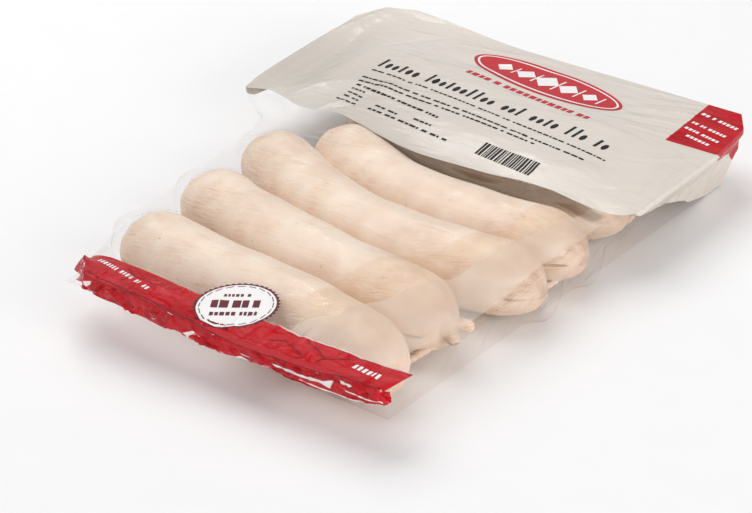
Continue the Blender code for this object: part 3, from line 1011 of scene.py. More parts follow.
def draw_print(name, shapes, lift, cuts):
    """Draw one print from its shapes and lay it on the film, lift millimetres above it."""
    clear_selection()
    bpy.ops.mesh.primitive_plane_add(size=1.0, location=(0, 0, 0))
    piece = name_new(name)
    bpy.ops.object.mode_set(mode="EDIT")
    bpy.ops.mesh.delete(type="VERT")
    for shape in shapes:
        if shape["sides"] == 4:
            bpy.ops.mesh.primitive_plane_add(size=1.0, location=(0, 0, 0))
        else:
            bpy.ops.mesh.primitive_circle_add(
                vertices=shape["sides"], radius=0.5, fill_type="TRIFAN", location=(0, 0, 0))
    bpy.ops.object.mode_set(mode="OBJECT")
    points = read_points(piece)
    first = 0
    for shape in shapes:
        last = first + (4 if shape["sides"] == 4 else shape["sides"] + 1)
        along = points[first:last, 0] * shape["size"][0]
        across = points[first:last, 1] * shape["size"][1]
        turn_x, turn_y = math.cos(shape["angle"]), math.sin(shape["angle"])
        points[first:last, 0] = shape["place"][0] + along * turn_x - across * turn_y
        points[first:last, 1] = shape["place"][1] + along * turn_y + across * turn_x
        points[first:last, 2] = PRINT_HEIGHT
        first = last
    write_points(piece, points * MM)
    bpy.ops.object.mode_set(mode="EDIT")
    bpy.ops.mesh.select_all(action="SELECT")
    bpy.ops.mesh.subdivide(number_cuts=cuts)
    bpy.ops.object.mode_set(mode="OBJECT")
    apply_modifier(piece, "SHRINKWRAP", {
        "wrap_method": "PROJECT", "use_project_z": True, "use_negative_direction": True,
        "use_positive_direction": False, "target": film_bag, "offset": lift * MM,
    })
    bpy.ops.object.shade_smooth()
    lost = int((read_points(piece)[:, 2] > PRINT_HEIGHT * MM * 0.99).sum())
    print(name, "points:", len(piece.data.vertices), "off the film:", lost)
    return piece


def row_of_dashes(start, end, width, seed, shortest=1.4, longest=5.0, gap=0.9):
    """Bars of uneven length along a line, as small print looks from a distance."""
    dash_random = np.random.default_rng(seed)
    start, end = np.array(start, float), np.array(end, float)
    length = np.hypot(*(end - start))
    angle = math.atan2(*(end - start)[::-1])
    place, bars = 0.0, []
    while place < length - shortest:
        dash = min(dash_random.uniform(shortest, longest), length - place)
        middle = start + (end - start) * (place + dash / 2) / length
        bars.append(bar(middle[0], middle[1], dash, width, angle))
        place += dash + gap * (3.0 if dash_random.random() < 0.2 else 1.0)
    return bars


print("print helpers ready")

# %% [markdown]
# The large row of black print is made of plain upright bars and pills in groups. The small rows
# under it are dashes.

# %% Print the black rows
TITLE_START, TITLE_END = (-90, 124), (92, 104)
TITLE_GROUPS = (6, 10, 3, 4, 3, 2)
TITLE_PATTERN = (
    (2.0, 11.5), (3.9, 7.6), (3.6, 7.2), (2.1, 9.6), (4.0, 7.6), (3.8, 7.4), (2.0, 11.5),
)
LOW_MARK = 7.0
PILL_FROM, PILL_SIDES = 2.5, 8
SMALL_ROWS = (
    ((-88.6, 114.5), (97.9, 90.5), 1.5), ((-88.4, 103.5), (88.8, 82.5), 1.7),
    ((-87.4, 98.0), (52.8, 82.0), 1.7), ((-85.3, 92.6), (-14.7, 78.3), 2.0),
    ((-85.3, 87.2), (-72, 85.0), 1.5), ((-84.6, 82.2), (-70, 79.0), 1.5),
    ((-84.6, 77.5), (-72, 75.0), 1.6), ((-58, 73.8), (-40, 70.6), 1.8),
    ((-86.6, 72.3), (-70, 70.0), 1.5), ((-60, 68.4), (3.4, 60.3), 1.9),
    ((-27.8, 71.0), (-11.6, 69.0), 1.6),
)
SMALL_SEED = 40
title_start, title_end = np.array(TITLE_START, float), np.array(TITLE_END, float)
title_run = title_end - title_start
title_angle = math.atan2(title_run[1], title_run[0])
mark_count = sum(TITLE_GROUPS) + len(TITLE_GROUPS) - 1
title_shapes = []
mark_number = 0
for group in TITLE_GROUPS:
    for mark in range(group):
        width, height = TITLE_PATTERN[mark_number % len(TITLE_PATTERN)]
        middle = title_start + title_run * (mark_number + 0.5) / mark_count
        middle_y = middle[1] + (height - LOW_MARK) / 2
        if width > PILL_FROM:
            title_shapes.append(oval(middle[0], middle_y, width, height, title_angle, PILL_SIDES))
        else:
            title_shapes.append(bar(middle[0], middle_y, width, height, title_angle))
        mark_number += 1
    mark_number += 1
black_title = draw_print("black_title", title_shapes, FIRST_INK, 2)
small_shapes = []
for number, (start, end, width) in enumerate(SMALL_ROWS):
    small_shapes += row_of_dashes(start, end, width, seed=SMALL_SEED + number)
black_rows = draw_print("black_rows", small_shapes, FIRST_INK, 2)
print("strokes and dashes:", len(title_shapes), len(small_shapes))

# %% [markdown]
# The block of stripes stands under the rows. Its stripes have uneven widths and gaps.

# %% Print the block of stripes
STRIPES_START, STRIPES_END = (26.5, 63.0), (69.0, 58.5)
STRIPE_LENGTH = 12.0
STRIPE_WIDTHS = (0.7, 1.0, 1.5, 1.9)
STRIPE_GAPS = (0.55, 0.7, 1.0)
BLOCK_LENGTH = 41.0
STRIPE_SEED = 12
stripe_random = np.random.default_rng(STRIPE_SEED)
start, end = np.array(STRIPES_START, float), np.array(STRIPES_END, float)
stripes_angle = math.atan2(*(end - start)[::-1])
place, stripe_shapes = 0.0, []
while place < BLOCK_LENGTH:
    width = stripe_random.choice(STRIPE_WIDTHS)
    middle = start + (end - start) * (place + width / 2) / (BLOCK_LENGTH + 1.0)
    stripe_shapes.append(bar(middle[0], middle[1], width, STRIPE_LENGTH, stripes_angle))
    place += width + stripe_random.choice(STRIPE_GAPS)
stripe_block = draw_print("stripe_block", stripe_shapes, FIRST_INK, 5)
print("stripes:", len(stripe_shapes))

# %% [markdown]
# The emblem is a plain oval with a thin light line inside its edge and a row of light lozenges
# across its middle. The layers lie one on the other: red, then light, then red again a little
# smaller, then the lozenges. A row of red dashes runs under it.

# %% Print the emblem
EMBLEM_PLACE = (12, 163)
EMBLEM_ANGLE = math.radians(-7)
EMBLEM_SIZE = (116, 38)
EMBLEM_LAYERS = ((0.0, FIRST_INK), (5.0, SECOND_INK), (8.0, THIRD_INK))
TOP_INK = 0.42
LOZENGE_STEP, LOZENGE_SIDE, LOZENGE_SHRINK = 17.0, 13.0, 2.2
EMBLEM_ROW = ((-36, 144.5), (66, 129.5), 4.4)
emblem_parts = []
for number, (inset, lift) in enumerate(EMBLEM_LAYERS, start=1):
    layer = oval(*EMBLEM_PLACE, EMBLEM_SIZE[0] - inset, EMBLEM_SIZE[1] - inset, EMBLEM_ANGLE)
    emblem_parts.append(draw_print(f"emblem_layer_{number}", [layer], lift, 11))
emblem_red, emblem_line, emblem_middle = emblem_parts
lozenges = []
for step in range(-2, 3):
    side = LOZENGE_SIDE - LOZENGE_SHRINK * abs(step)
    x = EMBLEM_PLACE[0] + LOZENGE_STEP * step * math.cos(EMBLEM_ANGLE)
    y = EMBLEM_PLACE[1] + LOZENGE_STEP * step * math.sin(EMBLEM_ANGLE)
    lozenges.append(bar(x, y, side, side, EMBLEM_ANGLE + math.radians(45)))
    lozenges.append(bar(x + 8.5, y - 1.0, 1.2, side * 1.3, EMBLEM_ANGLE))
emblem_lozenges = draw_print("emblem_lozenges", lozenges, TOP_INK, 6)
row_shapes = row_of_dashes(*EMBLEM_ROW, seed=3, shortest=3.0, longest=5.0, gap=1.3)
emblem_row = draw_print("emblem_row", row_shapes, FIRST_INK, 2)
print("emblem width, millimetres:", EMBLEM_SIZE[0])

# %% [markdown]
# ## The badge and the band's small print
# The badge is a white disc with a dark red toothed rim. The teeth are made by moving every other
# point of the circle inwards.

# %% Print the badge
BADGE_PLACE = (14.6, -169.3)
BADGE_RADIUS, DISC_RADIUS, RING_RADIUS = 25.2, 22.8, 21.0
BADGE_ANGLE = math.radians(26)
BADGE_SLOPE = 0.83
TOOTH_COUNT, TOOTH_DEPTH = 44, 1.5


def badge_point(along, across):
    """A place on the badge, which the film's slope narrows across the band."""
    across = across * BADGE_SLOPE
    turn_x, turn_y = math.cos(BADGE_ANGLE), math.sin(BADGE_ANGLE)
    x = BADGE_PLACE[0] + along * turn_x - across * turn_y
    y = BADGE_PLACE[1] + along * turn_y + across * turn_x
    return (x, y)


def badge_disc_shape(radius, sides=72):
    return oval(*BADGE_PLACE, 2 * radius, 2 * radius * BADGE_SLOPE, BADGE_ANGLE, sides)


rim_shape = badge_disc_shape(BADGE_RADIUS, 2 * TOOTH_COUNT)
badge_rim = draw_print("badge_rim", [rim_shape], FIRST_INK, 9)
rim_points = read_points(badge_rim) / MM
offset = rim_points[:, :2] - BADGE_PLACE
turn_x, turn_y = math.cos(BADGE_ANGLE), math.sin(BADGE_ANGLE)
along = offset[:, 0] * turn_x + offset[:, 1] * turn_y
across = (offset[:, 1] * turn_x - offset[:, 0] * turn_y) / BADGE_SLOPE
turns = (np.arctan2(across, along) / (2 * math.pi) * TOOTH_COUNT) % 1.0
reach = smooth_step(DISC_RADIUS, BADGE_RADIUS, np.hypot(along, across))
teeth = 1.0 - TOOTH_DEPTH / BADGE_RADIUS * np.abs(turns - 0.5) * 2.0 * reach
rim_points[:, :2] = BADGE_PLACE + offset * teeth[:, None]
write_points(badge_rim, rim_points * MM)
badge_disc = draw_print("badge_disc", [badge_disc_shape(DISC_RADIUS)], SECOND_INK, 9)
print("badge teeth:", TOOTH_COUNT)

# %% [markdown]
# On the disc lie a dashed ring and three short rows of marks: how far each is from the middle,
# half its length, its width and its seed.

# %% Print the marks on the badge
RING_DASHES = 20
RING_DASH = (0.55, 4.4)
BADGE_ROWS = ((11.0, 8.5, 2.4, 1), (1.5, 14.5, 6.6, 2), (-9.0, 14.0, 3.2, 6))
badge_shapes = []
for number in range(RING_DASHES):
    turn = 2 * math.pi * number / RING_DASHES
    place = badge_point(RING_RADIUS * math.cos(turn), RING_RADIUS * math.sin(turn))
    badge_shapes.append(bar(*place, *RING_DASH, turn + BADGE_ANGLE))
for far, half, width, seed in BADGE_ROWS:
    row_start, row_end = badge_point(-half, far), badge_point(half, far)
    badge_shapes += row_of_dashes(row_start, row_end, width, seed, width * 0.5, width * 0.85, 0.8)
badge_marks = draw_print("badge_marks", badge_shapes, THIRD_INK, 3)
print("badge marks:", len(badge_shapes))

# %% [markdown]
# The band has thin dark lines: parts of a printed pattern of hexagons at the right and at the left,
# and along its front a long dark line of painted shade where the band folds. It also has a light row
# of slanted strokes at each end. The tag has four short light rows. A row's last three numbers are
# its shortest dash, its longest dash and the gap between two.

# %% Print the band's lines, paint its fold's shade, and print the tag's rows
BAND_CHAINS = (
    ((50, -186.5), (59, -183), (75, -190.5)), ((69, -177.5), (88.5, -187), (102, -179)),
    ((88.5, -187), (84, -190.5)),
    ((-62, -168), (-54, -174), (-58, -182)), ((-54, -174), (-40, -175)),
    # The last chain is a line of painted shade along the band's fold.
    ((-80, -183), (-70, -186.8), (-44, -189), (-16, -190.2), (2, -191.2)),
)
LIGHT_ROWS = (
    ((-84, -168), (-38, -181), 3.0, 8, 1.0, 2.2, 1.2),
    ((105, -184), (125, -186), 4.2, 9, 1.2, 2.4, 1.3),
    ((112, 184), (140, 178), 3.0, 10, 1.4, 2.6, 1.0),
    ((113, 170), (139, 165), 2.6, 11, 1.4, 2.6, 0.8),
    ((113, 161), (139, 156), 2.6, 13, 1.4, 2.6, 0.8),
    ((119, 152), (137, 149), 2.6, 14, 1.4, 2.6, 0.8),
)
LINE_PIECE = 4.0
LINE_WIDTH = 0.5
LINE_OVERLAP = 0.2
line_shapes = []
for chain in BAND_CHAINS:
    for start, end in zip(chain, chain[1:]):
        run_x, run_y = end[0] - start[0], end[1] - start[1]
        length = math.hypot(run_x, run_y)
        count = math.ceil(length / LINE_PIECE)
        line_angle = math.atan2(run_y, run_x)
        for number in range(count):
            share = (number + 0.5) / count
            x, y = start[0] + run_x * share, start[1] + run_y * share
            line_shapes.append(bar(x, y, length / count + LINE_OVERLAP, LINE_WIDTH, line_angle))
band_lines_and_fold_shade = draw_print("band_lines_and_fold_shade", line_shapes, SECOND_INK, 5)
light_shapes = []
for light_row in LIGHT_ROWS:
    light_shapes += row_of_dashes(*light_row)
light_marks = draw_print("light_marks", light_shapes, FIRST_INK, 3)
print("lines and marks:", len(line_shapes), len(light_shapes))

# %% [markdown]
# ## The finishes
# Colours are given as the sRGB values one would pick from a photo, and one function turns them
# linear, as the shaders need them. One small function adds a node. Each of its sockets gets a
# plain value, or a link where it is given another node or one of that node's outputs.
# A pattern's scale is worked out from its real size in millimetres: noise and cells repeat about
# once in each unit of their scaled coordinates.

# %% Helpers for the finishes
def linear(hex_colour):
    """An sRGB hex colour such as "F2DCC8" as the linear colour that shaders use."""
    values = [int(hex_colour[index:index + 2], 16) / 255 for index in (0, 2, 4)]
    return tuple(v / 12.92 if v <= 0.04045 else ((v + 0.055) / 1.055) ** 2.4 for v in values) + (1.0,)


def new_finish(name):
    finish = bpy.data.materials.new(name)
    finish.use_nodes = True
    finish.node_tree.nodes.clear()
    return finish


def add_node(finish, kind, sockets=None, **settings):
    """Add a node with its settings. A node given to a socket stands for its first output."""
    node = finish.node_tree.nodes.new("ShaderNode" + kind)
    for name, value in settings.items():
        setattr(node, name, value)
    for name, value in (sockets or {}).items():
        if isinstance(value, bpy.types.Node):
            value = next(output for output in value.outputs if not output.is_unavailable)
        if isinstance(value, bpy.types.NodeSocket):
            finish.node_tree.links.new(value, node.inputs[name])
        else:
            node.inputs[name].default_value = value
    return node


def scale_of(size):
    """The scale that makes a pattern's patches or cells about this many millimetres wide."""
    return 1.0 / (size * MM)


def give(piece, finish):
    piece.data.materials.clear()
    piece.data.materials.append(finish)


print("finish helpers ready")

# %% [markdown]
# ## The casing's finish
# The casing is natural gut, moist and a little see-through, over pale minced meat. Its colour
# wanders between cream and a warmer tan in patches of about 18 mm, because the meat under it
# isn't evenly mixed. A noise of that size mixes the two tones.

# %% Start the casing with its mottled colour
MOTTLING = 18.18
casing = new_finish("natural_casing")
place = add_node(casing, "TexCoord").outputs["Object"]
end_gap = add_node(casing, "Attribute", attribute_name="end_distance").outputs["Fac"]
along = add_node(casing, "Attribute", attribute_name="along_link").outputs["Fac"]
around = add_node(casing, "Attribute", attribute_name="around_link").outputs["Fac"]
mottling = add_node(
    casing, "TexNoise",
    {"Vector": place, "Scale": scale_of(MOTTLING), "Detail": 3.0, "Roughness": 0.55})
spread = add_node(casing, "MapRange", {"Value": mottling, "From Min": 0.35, "From Max": 0.7})
body_colour = add_node(
    casing, "Mix", {"Factor": spread, "A": linear("F4E0CC"), "B": linear("EACFB8")}, data_type="RGBA")
print("mottling, millimetres:", MOTTLING)

# %% [markdown]
# Low on a link's side little light gets in between it and its neighbour, so painted shade makes it
# browner from 40 mm height down, and brownest at 12 mm. The right ends get light through the clear
# wall, so the painted brown fades there. In the last 12 mm before a twist the gathered casing is
# pinker.

# %% Paint shade on the flanks, and tint the ends
FLANK_TOP, FLANK_FOOT = 40, 12
FADE_FROM, FADE_TO = 50, 100
END_GATHER = 12.0
place_parts = add_node(casing, "SeparateXYZ", {"Vector": place})
height = place_parts.outputs["Z"]
low_shade = add_node(
    casing, "MapRange",
    {"Value": height, "From Min": FLANK_TOP * MM, "From Max": FLANK_FOOT * MM, "To Max": 0.46},
    interpolation_type="SMOOTHSTEP")
lit_right_ends = add_node(
    casing, "MapRange",
    {"Value": place_parts.outputs["X"], "From Min": FADE_TO * MM, "From Max": FADE_FROM * MM,
     "To Min": 0.15})
# Painted shade: the casing is drawn browner low on the flanks, less at the lit right ends.
flank_shade = add_node(casing, "Math", {0: low_shade, 1: lit_right_ends}, operation="MULTIPLY")
shaded_flank_colour = add_node(
    casing, "Mix", {"Factor": flank_shade, "A": body_colour, "B": linear("D5A57E")}, data_type="RGBA")
near_end = add_node(
    casing, "MapRange", {"Value": end_gap, "From Min": END_GATHER, "From Max": 0.0, "To Max": 0.5})
end_colour = add_node(
    casing, "Mix", {"Factor": near_end, "A": shaded_flank_colour, "B": linear("D9AE97")}, data_type="RGBA")
print("flanks and ends tinted")

# %% [markdown]
# Near its ends the casing gathers in fine folds that run along the link. Each is about 10 mm long
# and 2 mm from the next, which is 12 of them in a radian around the link. The noise for them is
# drawn in the link's own coordinates, so that the folds follow its bow. They fade out 130 mm
# from the end, and come only where the casing is tan, so the middle stays smooth.

# %% Gather the casing in fine folds
STRAND_LENGTH = 10.0
STRANDS_PER_RADIAN = 12.0
STRAND_SLANT = 0.012
STRANDS_FULL, STRANDS_END = 10.0, 130.0
slant = add_node(casing, "Math", {0: along, 1: STRAND_SLANT, 2: around}, operation="MULTIPLY_ADD")
strand_place = add_node(casing, "CombineXYZ", {"X": along, "Y": slant})
strand_size = add_node(
    casing, "VectorMath",
    {0: strand_place, 1: (1.0 / STRAND_LENGTH, STRANDS_PER_RADIAN, 1.0)}, operation="MULTIPLY")
strands = add_node(
    casing, "TexNoise", {"Vector": strand_size, "Scale": 1.0, "Detail": 3.0, "Distortion": 0.6})
strand_reach = add_node(
    casing, "MapRange", {"Value": end_gap, "From Min": STRANDS_END, "From Max": STRANDS_FULL})
strand_patches = add_node(casing, "MapRange", {"Value": mottling, "From Min": 0.42, "From Max": 0.6})
strand_depth = add_node(casing, "Math", {0: strand_reach, 1: strand_patches}, operation="MULTIPLY")
print("strand length, millimetres:", STRAND_LENGTH)

# %% [markdown]
# The folds' shadows are painted as faint brown lines of shade. Ground spice shows as a few specks:
# the cells of a Voronoi pattern, 6.7 mm wide, each have a random value, and only a high one gives a
# speck, of up to 2 mm.

# %% Paint the folds' shadows and draw specks
SPECK_CELL = 6.67
SPECK_REACH = 0.22
# Painted shade: the folds' shadows as faint brown lines.
fold_shadow_lines = add_node(
    casing, "MapRange", {"Value": strands, "From Min": 0.56, "From Max": 0.72, "To Max": 0.28})
fold_shadow_mask = add_node(casing, "Math", {0: fold_shadow_lines, 1: strand_depth}, operation="MULTIPLY")
fold_shaded_colour = add_node(
    casing, "Mix", {"Factor": fold_shadow_mask, "A": end_colour, "B": linear("C99A76")}, data_type="RGBA")
speck_cells = add_node(
    casing, "TexVoronoi", {"Vector": place, "Scale": scale_of(SPECK_CELL)}, feature="F1")
speck_size = add_node(
    casing, "Math", {0: speck_cells.outputs["Color"], 1: SPECK_REACH}, operation="MULTIPLY")
speck_mask = add_node(casing, "Math", {0: speck_size, 1: speck_cells}, operation="SUBTRACT")
speck_edge = add_node(
    casing, "MapRange", {"Value": speck_mask, "From Min": 0.05, "From Max": 0.12, "To Max": 0.5})
casing_colour = add_node(
    casing, "Mix", {"Factor": speck_edge, "A": fold_shaded_colour, "B": linear("A9876A")}, data_type="RGBA")
print("speck cells, millimetres:", SPECK_CELL)

# %% [markdown]
# The folds, and the gut's own grain of about 2.4 mm, are drawn as bumps. Moist casing has a satin
# gloss. Light goes a few millimetres into it and comes out warmer, as subsurface scattering
# does, with red going furthest.

# %% Put the casing together
FOLD_DEPTH = 1.4
SKIN_GRAIN, SKIN_DEPTH = 2.38, 0.4
GLOW_DEPTH = 4.0
folds = add_node(
    casing, "Bump", {"Height": strands, "Distance": FOLD_DEPTH * MM, "Strength": strand_depth})
grain = add_node(casing, "TexNoise", {"Vector": place, "Scale": scale_of(SKIN_GRAIN), "Detail": 2.0})
skin = add_node(
    casing, "Bump",
    {"Height": grain, "Strength": 0.4, "Distance": SKIN_DEPTH * MM, "Normal": folds})
casing_shader = add_node(
    casing, "BsdfPrincipled",
    {"Base Color": casing_colour, "Normal": skin, "Roughness": 0.5, "IOR": 1.36,
     "Subsurface Weight": 0.3, "Subsurface Radius": (1.0, 0.5, 0.28),
     "Subsurface Scale": GLOW_DEPTH * MM})
add_node(casing, "OutputMaterial", {"Surface": casing_shader})
for piece in (string_of_links, casing_twists, casing_nubs):
    give(piece, casing)
print("finish:", casing.name)

# %% [markdown]
# ## The film's finish
# The bag is blown polyethylene film. One finish covers all of it, clear, hazy and printed, with
# painted shadow and painted sheen in places, and each look has its own field. A field's edge is
# drawn from the distance to it, so it is crisp however coarse the mesh is.

# %% Start the film with its printed fields
PRINT_EDGE = 0.2
film = new_finish("printed_polyethylene_film")


def field_mask(name, edge, most=1.0):
    """A value that is 0 outside a printed field and goes to most inside it."""
    distance = add_node(film, "Attribute", attribute_name=name).outputs["Fac"]
    return add_node(
        film, "MapRange", {"Value": distance, "From Min": -edge, "From Max": edge, "To Max": most})


white_mask = field_mask("white_print", PRINT_EDGE)
red_mask = field_mask("red_print", PRINT_EDGE)
over_link = add_node(film, "Attribute", attribute_name="over_link").outputs["Fac"]
place = add_node(film, "TexCoord").outputs["Object"]
print("printed fields drawn")

# %% [markdown]
# Where the film lies double along the right rim it is milky, and the inner layer's edge shows as
# a thin light line; this pale layer also stands for the double film's stronger reflection, a painted
# reflection. The walls have a faint haze from 3 mm below the rim. Over the right ends of
# the links the film takes a warm tone.

# %% Find where the film is hazy with painted sheen, and where it is warm
DOUBLE_HAZE_AND_SHEEN = 0.34
WALL_HAZE = 0.03
FOLD_LINE = 0.26
# Painted reflection: the double film's sheen is part of this pale matt layer.
lid_haze_and_sheen = field_mask("haze_and_sheen_film", 0.5, DOUBLE_HAZE_AND_SHEEN)
wall_way = add_node(film, "Attribute", attribute_name="way_down").outputs["Fac"]
wall_haze = add_node(film, "MapRange", {"Value": wall_way, "From Max": 3.0, "To Max": WALL_HAZE})
fold_gap = add_node(film, "Attribute", attribute_name="haze_and_sheen_film").outputs["Fac"]
fold_away = add_node(film, "Math", {0: fold_gap}, operation="ABSOLUTE")
fold_line = add_node(
    film, "MapRange", {"Value": fold_away, "From Min": 0.7, "From Max": 0.3, "To Max": FOLD_LINE})
film_haze_and_sheen = add_node(film, "Math", {0: lid_haze_and_sheen, 1: wall_haze}, operation="MAXIMUM")
fold_haze_and_sheen = add_node(film, "Math", {0: film_haze_and_sheen, 1: fold_line}, operation="MAXIMUM")
warm_patch = field_mask("warm_film", 0.5)
warm_mask = add_node(film, "Math", {0: warm_patch, 1: over_link}, operation="MULTIPLY")
print("haze and warmth found")

# %% [markdown]
# Drawn tight over a link, film wrinkles in combs of fine lines that catch the light, painted here as
# light lines, painted highlights. They are about 3 mm apart and ten times as long, and run along the
# links. They are strongest at the left and come in patches of about 30 mm.

# %% Paint the fine wrinkles' highlights over the links
COMB_GAP = 3.03
COMB_PATCH = 29.4
COMB_TURN = 0.25
COMB_WEAK, COMB_STRONG = 20, -60
comb_turn = add_node(
    film, "Mapping",
    {"Vector": place, "Rotation": (0.0, 0.0, COMB_TURN), "Scale": (0.1, 1.0, 0.6)})
comb = add_node(
    film, "TexNoise",
    {"Vector": comb_turn, "Scale": scale_of(COMB_GAP), "Detail": 2.0, "Distortion": 0.3})
# Painted highlights: fine light lines on the wrinkles.
comb_highlight_lines = add_node(
    film, "MapRange", {"Value": comb, "From Min": 0.56, "From Max": 0.74, "To Max": 0.5})
from_left = add_node(film, "SeparateXYZ", {"Vector": place}).outputs["X"]
comb_reach = add_node(
    film, "MapRange",
    {"Value": from_left, "From Min": COMB_WEAK * MM, "From Max": COMB_STRONG * MM, "To Min": 0.25})
comb_highlight = add_node(film, "Math", {0: comb_highlight_lines, 1: comb_reach}, operation="MULTIPLY")
comb_patch = add_node(
    film, "TexNoise", {"Vector": place, "Scale": scale_of(COMB_PATCH), "Detail": 1.0})
comb_gaps = add_node(film, "MapRange", {"Value": comb_patch, "From Min": 0.42, "From Max": 0.62})
comb_some = add_node(film, "Math", {0: comb_highlight, 1: comb_gaps}, operation="MULTIPLY")
comb_held = add_node(film, "Math", {0: comb_some, 1: over_link}, operation="MULTIPLY")
haze_sheen_and_highlight_mask = add_node(film, "Math", {0: fold_haze_and_sheen, 1: comb_held}, operation="MAXIMUM")
print("comb lines, millimetres apart:", COMB_GAP)

# %% [markdown]
# Film reflects little when seen straight on and a lot at a grazing angle, so Layer Weight's
# Facing value, raised to the fifth power, says how much gloss there is. Soft crinkles of about
# 9 mm bend the gloss. Where the red band isn't drawn over a link it is crumpled into facets of
# about 8 mm, which are the cells of a Voronoi pattern.

# %% Give the film gloss, crinkles and facets
GLOSS_STRAIGHT_ON, GLOSS_GRAZING = 0.018, 0.3
CRINKLE, CRINKLE_DEPTH = 9.09, 1.3
FACET, FACET_DEPTH = 8.33, 1.6
PULL_TURN = 0.9
facing = add_node(film, "LayerWeight", {"Blend": 0.5}).outputs["Facing"]
grazing = add_node(film, "Math", {0: facing, 1: 5.0}, operation="POWER")
shine = add_node(
    film, "Math", {0: grazing, 1: GLOSS_GRAZING, 2: GLOSS_STRAIGHT_ON}, operation="MULTIPLY_ADD")
pull = add_node(
    film, "Mapping",
    {"Vector": place, "Rotation": (0.0, 0.0, PULL_TURN), "Scale": (0.35, 1.0, 1.0)})
crinkle = add_node(
    film, "TexNoise", {"Vector": pull, "Scale": scale_of(CRINKLE), "Detail": 4.0, "Distortion": 0.6})
soft_bump = add_node(
    film, "Bump", {"Height": crinkle, "Strength": 0.8, "Distance": CRINKLE_DEPTH * MM})
bent_place = add_node(
    film, "Mix", {"Factor": 0.01, "A": pull, "B": crinkle.outputs["Color"]}, data_type="VECTOR")
facets = add_node(film, "TexVoronoi", {"Vector": bent_place, "Scale": scale_of(FACET)})
crumpled = add_node(film, "Math", {0: over_link, 1: -0.7, 2: 1.0}, operation="MULTIPLY_ADD")
crumpled_red = add_node(film, "Math", {0: crumpled, 1: red_mask}, operation="MULTIPLY")
facet_depth = add_node(film, "MapRange", {"Value": crumpled_red, "To Min": 0.12, "To Max": 1.0})
film_bump = add_node(
    film, "Bump",
    {"Height": facets, "Distance": FACET_DEPTH * MM, "Strength": facet_depth, "Normal": soft_bump})
print("facets, millimetres:", FACET)

# %% [markdown]
# Clear film is a plain see-through surface under that gloss, faintly tinted where it is warm.
# The haze, with the painted sheen and highlights, is a pale matt layer mixed over it.

# %% Make the clear film
CLEAR_TINT, WARM_TINT = (1.0, 1.0, 1.0, 1.0), (0.965, 0.93, 0.885, 1.0)
tint = add_node(film, "Mix", {"Factor": warm_mask, "A": CLEAR_TINT, "B": WARM_TINT}, data_type="RGBA")
see_through = add_node(film, "BsdfTransparent", {"Color": tint})
film_gloss = add_node(film, "BsdfGlossy", {"Roughness": 0.15, "Normal": film_bump})
clear_film = add_node(film, "MixShader", {0: shine, 1: see_through, 2: film_gloss})
haze_sheen_and_highlights = add_node(film, "BsdfDiffuse", {"Color": linear("EBDCCE")})
haze_and_sheen_film = add_node(film, "MixShader", {0: haze_sheen_and_highlight_mask, 1: clear_film, 2: haze_sheen_and_highlights})
print("clear film ready")

# %% [markdown]
# At the very edge of the right rim a tan strip shows through in specks. Behind the fourth link
# the loose film hangs over a dark gap, and the gap's shadow is painted on it as a dull brown matt
# layer, with two darker painted spots.

# %% Make the tan edge and the painted shadow over the gap
AMBER_AND_SHADOW_PATCH = 6.25
TAN_SHARE, GAP_SHADE_SHARE = 0.5, 0.66
amber_and_shadow_noise = add_node(
    film, "TexNoise", {"Vector": place, "Scale": scale_of(AMBER_AND_SHADOW_PATCH), "Detail": 3.0})
amber_patch = field_mask("amber_film", 1.0, TAN_SHARE)
amber_speckle = add_node(film, "MapRange", {"Value": amber_and_shadow_noise, "From Min": 0.35, "From Max": 0.65})
amber_mask = add_node(film, "Math", {0: amber_patch, 1: amber_speckle}, operation="MULTIPLY")
amber = add_node(film, "BsdfDiffuse", {"Color": linear("C9A685")})
amber_film = add_node(film, "MixShader", {0: amber_mask, 1: haze_and_sheen_film, 2: amber})
# Painted shadow: a dull brown matt layer over the gap behind the fourth link.
gap_shadow_patch = field_mask("gap_shadow", 1.5, GAP_SHADE_SHARE)
gap_shadow_spots = field_mask("gap_shadow_spots", 2.0)
gap_shadow_brown = add_node(
    film, "Mix", {"Factor": amber_and_shadow_noise, "A": linear("948373"), "B": linear("7C6755")}, data_type="RGBA")
gap_shadow_colour = add_node(
    film, "Mix", {"Factor": gap_shadow_spots, "A": gap_shadow_brown, "B": linear("6B4F3A")}, data_type="RGBA")
gap_shade = add_node(film, "BsdfDiffuse", {"Color": gap_shadow_colour})
gap_shaded_film = add_node(film, "MixShader", {0: gap_shadow_patch, 1: amber_film, 2: gap_shade})
print("dull patches, millimetres:", AMBER_AND_SHADOW_PATCH)

# %% [markdown]
# The white print is a thin layer of white ink with faint clouds of about 38 mm. Towards the window
# and the left it is painted greyer, as painted shade. The ink is on the film's inner side, so the
# film's gloss and its crinkles lie over it.

# %% Make the white print
INK_CLOUD = 38.46
ACROSS_HEADER = (0.6, 0.8, 0.0)
UNSHADED_FROM, SHADED_FROM = 100, -20
ink_noise = add_node(
    film, "TexNoise", {"Vector": place, "Scale": scale_of(INK_CLOUD), "Detail": 2.0})
clouded_ink = add_node(
    film, "Mix", {"Factor": ink_noise, "A": linear("E8DFD5"), "B": linear("DFD5C9")}, data_type="RGBA")
across_header = add_node(film, "VectorMath", {0: place, 1: ACROSS_HEADER}, operation="DOT_PRODUCT")
